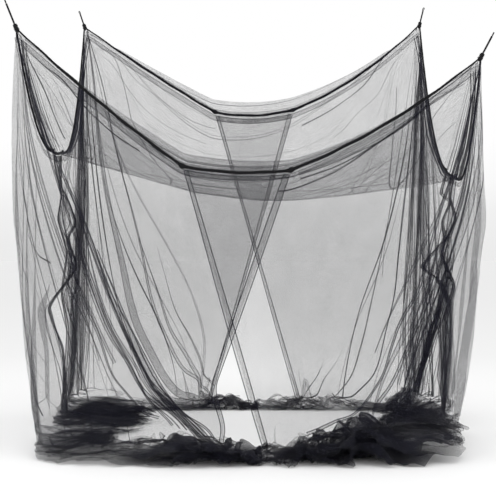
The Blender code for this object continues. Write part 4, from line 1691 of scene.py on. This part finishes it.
@dataclass
class RoofSheet:
    """The roof panel, one sheet that sags between the four tapes.

    Args:
        across_rows: Rows from left to right.
        deep_columns: Columns from front to back.
        arcs: Fine creases from corner to corner, along the front, the back, the left and the right.
        seed: Which uneven pattern it has.
        valley_y: How far its lowest line lies behind the middle.
        valley_z: Height of its lowest point.
        valley_x: Place across of its lowest point, before centring.
        humps: How far it billows up behind the front tape and in front of the back one.
        hump_width: How far each of those reaches, as a share of its depth.
        knot_gap: How far its corners are drawn in from the knots.
        knot_drop: How far they are drawn down.
        ripple: How deep its fine ripples are.
        creases: Its main creases, each in its own size.
    """

    across_rows: int = 190
    deep_columns: int = 150
    arcs: Tuple[int, int, int, int] = (15, 8, 8, 6)
    seed: int = 77
    valley_y: float = -0.02
    valley_z: float = 1.062
    valley_x: float = 0.07
    humps: Tuple[float, float] = (0.085, 0.145)
    hump_width: float = 0.15
    knot_gap: float = 0.008
    knot_drop: float = 0.012
    ripple: float = 0.0022
    creases: Tuple[Crease, ...] = (
        drawn(((19, 34), (48, 69), (75, 96), (112, 132), (140, 151)), 0.006, 1.2, 4.0, (0.0, 0.5)),
        drawn(((20, 36), (37, 76), (53, 112), (65, 139)), 0.006, 1.2, 4.0, (0.0, 0.5)),
        drawn(((19, 36), (32, 80), (48, 128), (60, 147)), 0.005, 1.0, 3.0, (0.0, 0.5)),
        drawn(((75, 96), (100, 122), (128, 146)), 0.004, 0.6, 2.4, (0.0, 0.5)),
        drawn(((86, 34), (112, 64), (136, 102), (159, 123), (207, 144)), 0.003, 0.3, 1.6,
              (0.5, 1.0)),
        drawn(((89, 32), (128, 70), (159, 99), (190, 121), (215, 129)), 0.003, 0.3, 1.8,
              (0.5, 1.0)),
        drawn(((402, 45), (370, 78), (342, 104), (302, 126)), 0.005, 0.8, 3.4, (0.5, 1.0)),
        drawn(((413, 38), (382, 88), (358, 115), (334, 137)), 0.003, 0.3, 1.6, (0.5, 1.0)),
        drawn(((479, 60), (445, 89), (421, 110), (390, 134), (358, 151), (326, 166), (299, 174)),
              0.014, 1.0, 3.2, (0.0, 0.5)),
        drawn(((474, 66), (440, 98), (410, 122), (375, 146), (340, 165), (300, 179)), 0.007, 1.0,
              3.4, (0.0, 0.5)),
        drawn(((469, 72), (413, 118), (374, 147), (326, 177), (278, 190)), 0.006, 1.0, 4.0,
              (0.0, 0.5)),
        drawn(((409, 148), (374, 172), (335, 190)), 0.004, 0.8, 3.2, (0.0, 0.5)),
        drawn(((407, 156), (374, 182), (362, 187)), 0.004, 0.8, 3.0, (0.0, 0.5)),
    )

    def edge(self, name: str, shares: np.ndarray) -> np.ndarray:
        """The roof's edge along one tape, drawn in round the knots.

        Args:
            name: The side's name.
            shares: Places along it, from 0 to 1.

        Returns:
            A point for each place.
        """
        side = SIDES[name]
        spots = []
        for share in shares:
            spot = side.at(float(share) * side.stations())
            spot -= Vector(side.outward) * (TAPE_WIDTH * 0.5 - 0.001)
            for end, corner_name in ((share, side.first), (1.0 - share, side.last)):
                corner = CORNERS[corner_name].spot()
                pull = (1.0 - min(float(end) * side.stations(), 1.0)) ** 2
                spot.x -= math.copysign(self.knot_gap, corner.x) * pull
                spot.y -= math.copysign(self.knot_gap, corner.y) * pull
                spot.z -= self.knot_drop * pull
            spots.append(list(spot))
        return np.array(spots)

    def valley(self, across: np.ndarray) -> np.ndarray:
        """The height of the roof's lowest line.

        Args:
            across: Places across the roof, from 0 to 1.

        Returns:
            A height for each place.
        """
        left = SIDES["left"].tack_a[2] - SIDES["left"].sags[1]
        right = SIDES["right"].tack_a[2] - SIDES["right"].sags[1]
        first, last = CORNERS["front_left"].x, CORNERS["front_right"].x
        low_at = (self.valley_x - first) / (last - first)
        west = np.maximum(low_at - across, 0.0) / low_at
        east = np.maximum(across - low_at, 0.0) / (1.0 - low_at)
        low = self.valley_z
        return low + (left - low) * west ** 1.25 + (right - low) * east ** 1.6

    def sag(self, ends: Tuple[np.ndarray, np.ndarray, np.ndarray], share: np.ndarray) -> np.ndarray:
        """The even curve through a front, a middle and a back line.

        Args:
            ends: The three lines' points.
            share: Places from front to back.

        Returns:
            A point for each place.
        """
        front, middle, back = ends
        return (
            front * 2 * (share - 0.5) * (share - 1) + middle * 4 * share * (1 - share)
            + back * 2 * share * (share - 0.5)
        )

    def surface(self) -> Tuple[np.ndarray, np.ndarray, np.ndarray]:
        """The sheet's main shape.

        Returns:
            Its points, and each point's place across and from front to back.
        """
        rows = np.linspace(0.0, 1.0, self.across_rows)
        across, deep = np.meshgrid(rows, np.linspace(0.0, 1.0, self.deep_columns), indexing="ij")
        front, back = self.edge("front", rows), self.edge("back", rows)
        middle = (front + back) / 2.0
        middle[:, 1] += self.valley_y
        middle[:, 2] = self.valley(rows)
        spots = self.sag((front[:, None], middle[:, None], back[:, None]), deep[..., None])
        fine = np.linspace(0.0, 1.0, 161)
        for name, row, weight in (("left", 0, (1.0 - across) ** 3), ("right", -1, across ** 3)):
            line = self.sag((front[row], middle[row], back[row]), fine[:, None])
            gap = self.edge(name, fine) - line
            gap = np.stack([np.interp(deep, fine, gap[:, k]) for k in range(3)], -1)
            spots += gap * weight[..., None]
        inner = smooth(np.minimum(across, 1.0 - across), 0.0, 0.12)
        for rise, away in ((self.humps[0], deep), (self.humps[1], 1.0 - deep)):
            puff = np.sin(math.pi * np.minimum(away / self.hump_width, 1.0))
            spots[..., 2] += rise * puff * inner
        return spots, across, deep

    def arc_list(self) -> List[Crease]:
        """The fine creases that run from corner to corner, and the gathers along the tapes.

        Returns:
            The creases.
        """
        dice = np.random.default_rng(self.seed)
        made: List[Crease] = []
        line: List[Tuple[float, float]]
        for side, count in enumerate(self.arcs):
            for _ in range(count):
                deepest = 0.03 + 0.40 * float(dice.beta(1.0, 2.0))
                bow = float(dice.uniform(0.55, 0.95))
                first, last = float(dice.uniform(0.0, 0.15)), float(dice.uniform(0.8, 1.0))
                if dice.random() < 0.5:
                    first, last = 1.0 - last, 1.0 - first
                line = []
                for c in np.linspace(max(first, 0.01), min(last, 0.99), 9):
                    arc = (4.0 * c * (1.0 - c)) ** bow
                    off = 0.012 + deepest * arc * (0.9 + 0.1 * math.sin(6 * c))
                    line.append(((off, c), (1.0 - off, c), (c, off), (c, 1.0 - off))[side])
                wide = float(dice.choice([0.0025, 0.004, 0.007]))
                edge = float(dice.choice([1.3, 1.8, 2.6]))
                made.append(Crease(tuple(line), wide, 0.5, edge, (0.4, 0.4)))
        along = np.linspace(0.015, 0.985, 14)
        for side in (0.0, 1.0):
            for off, wide, plies in ((0.004, 0.011, 8.0), (0.008, 0.007, 4.0), (0.015, 0.008, 0.6)):
                made.append(Crease(
                    tuple((c, abs(side - off * (1.0 + 0.25 * math.sin(60.0 * c)))) for c in along),
                    wide, plies, 5.0, (0.5, 0.5)))
            limb = np.linspace(0.02, 0.47, 8)
            for off, wide in (
                (0.016, 0.012), (0.022, 0.006), (0.029, 0.010), (0.037, 0.005), (0.046, 0.004),
            ):
                line = []
                for c in limb:
                    away = off * (0.25 + 0.75 * math.sin(math.pi * c / 0.5))
                    line.append((c, abs(side - away)))
                made.append(Crease(tuple(line), wide, 1.3, 2.4, (0.3, 0.3)))
        for deep, wide in ((0.505, 0.004), (0.515, 0.010)):
            made.append(Crease(tuple((deep, c) for c in along), wide, 0.3, 2.0, (0.4, 0.4)))
        made.append(Crease(tuple((0.007, c) for c in along), 0.016, 1.2, 2.2, (0.5, 0.5)))
        made.append(Crease(tuple((0.994, c) for c in along), 0.012, 0.8, 2.0, (0.5, 0.5)))
        return made

    def build(self, finish: bpy.types.Material) -> bpy.types.Object:
        """Builds the roof as one sheet.

        Args:
            finish: The net's material.

        Returns:
            The roof.
        """
        spots, across, deep = self.surface()
        ways = normals(spots)
        ways *= np.sign(ways[..., 2:] + 1e-9)
        calm = smooth(np.minimum(deep, 1.0 - deep), 0.0, 0.06)
        calm = calm * smooth(np.minimum(across, 1.0 - across), 0.0, 0.10)
        ripple = np.sin(2 * math.pi * 13 * deep + 3 * np.sin(4 * across)) + 0.7 * np.sin(
            2 * math.pi * 23 * deep + 2 * np.sin(6 * across + 1.0)
        )
        spots[..., 2] += self.ripple * ripple * calm
        flat = np.stack([deep * 1.9, across * 2.1], axis=-1)
        thin = (0.95 - 0.35 * across) * (1.0 - 0.55 * smooth(deep, 0.45, 0.80))
        thin = thin * (1.0 - 0.40 * smooth(across, 0.60, 0.80))
        cloth = Cloth(Patch(spots, flat, thin), ways, seed=self.seed)
        for crease in [*self.creases, *self.arc_list()]:
            cloth.press(crease)
        piece = add("net_roof", cloth.mesh("net_roof"), finish)
        join(piece, "roof")
        area = sum(face.area for face in piece.data.polygons)
        log.info("net_roof %d faces, %.2f m2", len(piece.data.polygons), area)
        return piece


# ---- tapes, knots and cords -----------------------------------------------------------------

def bridge(bm: bmesh.types.BMesh, rings: List[List[bmesh.types.BMVert]], caps: bool) -> None:
    """Joins rings of points into a tube.

    Args:
        bm: The mesh that they are in.
        rings: The rings, each with as many points.
        caps: Whether both ends get a flat cap.
    """
    for ring, after in zip(rings, rings[1:]):
        for corners in zip(ring, ring[1:] + ring[:1], after[1:] + after[:1], after):
            bm.faces.new(corners)
    if caps:
        bm.faces.new(rings[0][::-1])
        bm.faces.new(rings[-1])


def settle(bm: bmesh.types.BMesh, name: str, material: bpy.types.Material) -> bpy.types.Object:
    """Makes an object of a mesh in the making.

    Args:
        bm: The mesh in the making, which is freed.
        name: The object's name.
        material: Its finish.

    Returns:
        The new object.
    """
    mesh = bpy.data.meshes.new(name)
    bm.to_mesh(mesh)
    bm.free()
    piece = add(name, mesh, material)
    log.info("%s %d faces", name, len(mesh.polygons))
    return piece


@dataclass
class BindingTape:
    """The tape folded over one side's seam, puckered by its stitches.

    Args:
        name: The side's name.
        pieces: Rings along it.
        stations: Stretches of the line that those are spaced on.
        seed: Which uneven pattern it has.
    """

    name: str
    pieces: int = 260
    stations: int = 600
    seed: int = 5

    def build(self, finish: bpy.types.Material) -> bpy.types.Object:
        """Builds the tape.

        Args:
            finish: The tape's material.

        Returns:
            The tape.
        """
        side = SIDES[self.name]
        count, fine = side.stations(), self.stations
        out = Vector(side.outward)
        line = [side.at(count * k / fine) for k in range(fine + 1)]
        columns = [[spot[k] for spot in line] for k in range(3)]
        run = [0.0]
        for first, second in zip(line, line[1:]):
            run.append(run[-1] + (second - first).length)
        tacks = [run[round(fine * steps / count)] for steps in (
            side.steps[0], side.steps[0] + side.steps[1],
        )]

        def at(place: float) -> Vector:
            """The tape's middle at a distance from its first corner."""
            return Vector([float(np.interp(place, run, column)) for column in columns])

        bm = bmesh.new()
        rings = []
        clear = KNOT_RADIUS * 0.8
        wanted = np.linspace(clear, run[-1] - clear, self.pieces)
        for place in wanted:
            way = (at(place + 0.01) - at(place - 0.01)).normalized()
            down = way.cross(out).normalized()
            if down.z > 0.0:
                down.negate()
            tack = max(math.exp(-((place - t) / 0.010) ** 2) for t in tacks)
            pucker = 1.0 + 0.07 * math.sin(place * 290.0)
            pucker += 0.05 * math.sin(place * 731.0 + self.seed)
            end = np.array(min(place - wanted[0], wanted[-1] - place))
            narrow = 0.45 + 0.40 * float(smooth(end, 0.0, 0.35))
            tall = TAPE_HEIGHT * 0.40 * pucker * narrow * (1.0 + 0.9 * tack)
            wide = TAPE_WIDTH * 0.42 * pucker * (1.0 + 0.6 * tack)
            sway = 0.0010 * math.sin(place * 37.0 + self.seed)
            spot = at(place)
            rings.append([
                bm.verts.new(spot + down * (tall * v + sway) + out * (wide * u))
                for u, v in self.profile()
            ])
        bridge(bm, rings, caps=True)
        bmesh.ops.recalc_face_normals(bm, faces=bm.faces)
        piece = settle(bm, "tape_" + self.name, finish)
        join(piece, "binding_" + self.name)
        return piece

    def profile(self) -> List[Tuple[float, float]]:
        """The tape's cross-section, a flat fold with a rounded top and a stitched lower edge."""
        return [
            (0.25, -1.0), (0.75, -0.85), (1.0, -0.45), (0.8, 0.1), (0.9, 0.6), (0.45, 1.0),
            (-0.45, 1.0), (-0.9, 0.6), (-0.8, 0.1), (-1.0, -0.45), (-0.75, -0.85), (-0.25, -1.0),
        ]


@dataclass
class CornerKnot:
    """The tied knot at one corner, with its turns and a short tail.

    Args:
        name: The corner's name.
        turns: Turns of cord round it.
        steps: Rings from its foot to its top.
        sides: Points of each ring.
        tail_steps: Stretches of its free end.
    """

    name: str
    turns: float = 3.5
    steps: int = 48
    sides: int = 40
    tail_steps: int = 8

    def build(self, finish: bpy.types.Material) -> bpy.types.Object:
        """Builds the knot.

        Args:
            finish: The cord's material.

        Returns:
            The knot.
        """
        corner = CORNERS[self.name]
        turned = corner.way().to_track_quat("Z", "Y")
        bm = bmesh.new()
        rings = []
        for step in range(1, self.steps):
            slope = math.pi * (1.0 - step / self.steps)
            rings.append([
                bm.verts.new(self.wound(slope, 2.0 * math.pi * side / self.sides))
                for side in range(self.sides)
            ])
        bridge(bm, rings, caps=False)
        for slope, ring in ((math.pi, rings[0][::-1]), (0.0, rings[-1])):
            pole = bm.verts.new(self.wound(slope, 0.0))
            for first, second in zip(ring, ring[1:] + ring[:1]):
                bm.faces.new((first, second, pole))
        self.add_tail(bm)
        for vert in bm.verts:
            vert.co = corner.spot() + turned @ vert.co
        piece = settle(bm, "knot_turns_" + self.name, finish)
        join(piece, "knot_" + self.name)
        return piece

    def wound(self, slope: float, turn: float) -> Vector:
        """A place on the knot, ridged by its turns and drawn in at its waist.

        Args:
            slope: How far it is turned down from the knot's top.
            turn: How far it is turned round the knot.

        Returns:
            The place, from the knot's middle.
        """
        high = math.cos(slope)
        ridge = 0.66 + 0.30 * math.cos(self.turns * math.pi * high + turn) ** 2
        ridge += 0.06 * math.sin(3.0 * turn + 7.0 * high)
        waist = 1.0 - 0.22 * math.exp(-((high - 0.1) / 0.30) ** 2)
        wide = KNOT_RADIUS * ridge * waist * math.sin(slope)
        return Vector((wide * math.cos(turn), wide * math.sin(turn), high * KNOT_LENGTH))

    def add_tail(self, bm: bmesh.types.BMesh) -> None:
        """Adds the free end, a small flat strip that hangs from the knot.

        Args:
            bm: The knot's mesh.
        """
        out = math.copysign(1.0, CORNERS[self.name].x)
        rings = []
        for step in range(self.tail_steps + 1):
            share = step / self.tail_steps
            middle = Vector((
                out * (0.006 + 0.012 * share + 0.002 * math.sin(6.0 * share)), 0.004,
                -0.008 - 0.022 * share,
            ))
            half = 0.0032 * (1.0 - 0.35 * share)
            thick = 0.0007
            rings.append([bm.verts.new(middle + Vector((u * half, w * thick, 0.25 * u * half)))
                          for u, w in ((1, 1), (-1, 1), (-1, -1), (1, -1))])
        bridge(bm, rings, caps=True)


@dataclass
class HangingCord:
    """The short cord from one corner up to its hook, with the small loop at its end.

    Args:
        name: The corner's name.
        points: Points along it.
        loop_steps: Rings of its loop.
        loop_sides: Points of each ring.
    """

    name: str
    points: int = 16
    loop_steps: int = 48
    loop_sides: int = 12

    def route(self) -> List[Vector]:
        """The cord's own points, from its knot to the foot of its loop."""
        corner = CORNERS[self.name]
        start = corner.spot() + corner.way() * (KNOT_LENGTH + KNOT_GAP)
        end = corner.spot() + corner.way() * (corner.reach() - 2.0 * LOOP_RADIUS)
        return [start.lerp(end, step / (self.points - 1)) for step in range(self.points)]

    def build(self, finish: bpy.types.Material) -> bpy.types.Object:
        """Builds the cord and its loop.

        Args:
            finish: The cord's material.

        Returns:
            The cord; its loop is built as a piece of its own.
        """
        route = self.route()
        curve = bpy.data.curves.new("cord_line_" + self.name, "CURVE")
        curve.dimensions = "3D"
        curve.bevel_depth = CORD_DIAMETER * 0.5
        curve.bevel_resolution = 4
        curve.use_fill_caps = True
        spline = curve.splines.new("POLY")
        spline.points.add(len(route) - 1)
        for point, spot in zip(spline.points, route):
            point.co = (*spot, 1.0)
        curve.materials.append(finish)
        piece = bpy.data.objects.new("cord_line_" + self.name, curve)
        bpy.context.scene.collection.objects.link(piece)
        join(piece, "cord_" + self.name)
        loop = self.build_loop(finish)
        return piece

    def build_loop(self, finish: bpy.types.Material) -> bpy.types.Object:
        """Builds the small loop that goes over the hook.

        Args:
            finish: The cord's material.

        Returns:
            The loop.
        """
        corner = CORNERS[self.name]
        turned = corner.way().to_track_quat("Z", "Y")
        centre = corner.spot() + corner.way() * (
            corner.reach() - LOOP_RADIUS + LOOP_WIRE + KNOT_GAP
        )
        bm = bmesh.new()
        rings = []
        for step in range(self.loop_steps):
            turn = 2.0 * math.pi * step / self.loop_steps
            middle = Vector((math.cos(turn), 0.0, math.sin(turn)))
            ring = []
            for side in range(self.loop_sides):
                wire = 2.0 * math.pi * side / self.loop_sides
                thick = LOOP_WIRE * (0.88 + 0.12 * math.cos(2.0 * wire - 9.0 * turn))
                off = middle * math.cos(wire) + Vector((0.0, 1.0, 0.0)) * math.sin(wire)
                ring.append(bm.verts.new(centre + turned @ (middle * LOOP_RADIUS + off * thick)))
            rings.append(ring)
        bridge(bm, rings + rings[:1], caps=False)
        bmesh.ops.recalc_face_normals(bm, faces=bm.faces)
        loop = settle(bm, "loop_wire_" + self.name, finish)
        join(loop, "loop_" + self.name)
        return loop


# ---- the studio -----------------------------------------------------------------------------

@dataclass
class Studio:
    """Camera, pale floor and soft light.

    Args:
        eye: Where the camera is, before centring.
        lens: Its lens, in millimetres.
        far: How far the floor runs on each side.
        lamps: Each lamp's name, place, width and power.
    """

    eye: Point = EYE
    lens: float = LENS / FRAME_WIDTH * SENSOR
    far: float = 60.0
    lamps: Tuple[Tuple[str, Point, float, float], ...] = (
        ("lamp_high", (1.5, -3.0, 4.5), 3.0, 60.0),
        ("lamp_side", (-4.0, -1.5, 3.0), 2.5, 30.0),
    )

    def camera(self) -> None:
        """Sets the camera at the photograph's place."""
        data = bpy.data.cameras.new("eye")
        data.sensor_fit = "HORIZONTAL"
        data.sensor_width = SENSOR
        data.lens = self.lens
        eye = bpy.data.objects.new("eye", data)
        eye.location = (self.eye[0] - CENTRE_X, self.eye[1] - CENTRE_Y, self.eye[2])
        eye.rotation_euler = (math.radians(90.0), 0.0, 0.0)
        bpy.context.scene.collection.objects.link(eye)
        bpy.context.scene.camera = eye

    def floor(self) -> None:
        """Lays the floor, which runs on to the horizon on every side."""
        bm = bmesh.new()
        far = self.far
        bm.faces.new([bm.verts.new((x, y, 0.0)) for x, y in (
            (-far, -far), (far, -far), (far, far), (-far, far),
        )])
        floor = settle(bm, "studio_floor", StudioFinish().make())

    def light(self) -> None:
        """Sets an even surrounding light and two large soft lamps, turned to the canopy."""
        aim = Vector((0.0, 0.0, 0.8))
        bpy.context.scene.world = StudioFinish().surround()
        for name, spot, size, power in self.lamps:
            data = bpy.data.lights.new(name, "AREA")
            data.shape = "SQUARE"
            data.size = size
            data.energy = power
            lamp = bpy.data.objects.new(name, data)
            lamp.location = spot
            lamp.rotation_euler = (aim - Vector(spot)).to_track_quat("-Z", "Y").to_euler()
            bpy.context.scene.collection.objects.link(lamp)

    def set_look(self) -> None:
        """Lets light pass many layers of net and keeps the tones plain."""
        scene = bpy.context.scene
        scene.cycles.transparent_max_bounces = 96
        scene.view_settings.view_transform = "Standard"


def main() -> None:
    """Builds the studio, then every piece of the canopy."""
    logging.basicConfig(level=logging.INFO, format="%(message)s")
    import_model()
    studio = Studio()
    studio.camera()
    cord = WovenFinish(
        "cord", colour=(0.007, 0.007, 0.008), roughness=0.62, ribs=900.0, depth=0.6).make()
    tape = WovenFinish(
        "tape", colour=(0.004, 0.004, 0.005), roughness=0.80, ribs=1400.0, depth=0.4).make()
    net = NetFinish().make()
    for name in CORNERS:
        HangingCord(name).build(cord)
        CornerKnot(name).build(cord)
    for number, name in enumerate(SIDES):
        BindingTape(name, seed=number).build(tape)
    RoofSheet().build(net)
    for curtain in CURTAINS:
        curtain.build(net)
    studio.floor()
    studio.light()
    studio.set_look()


if __name__ == "__main__":
    main()
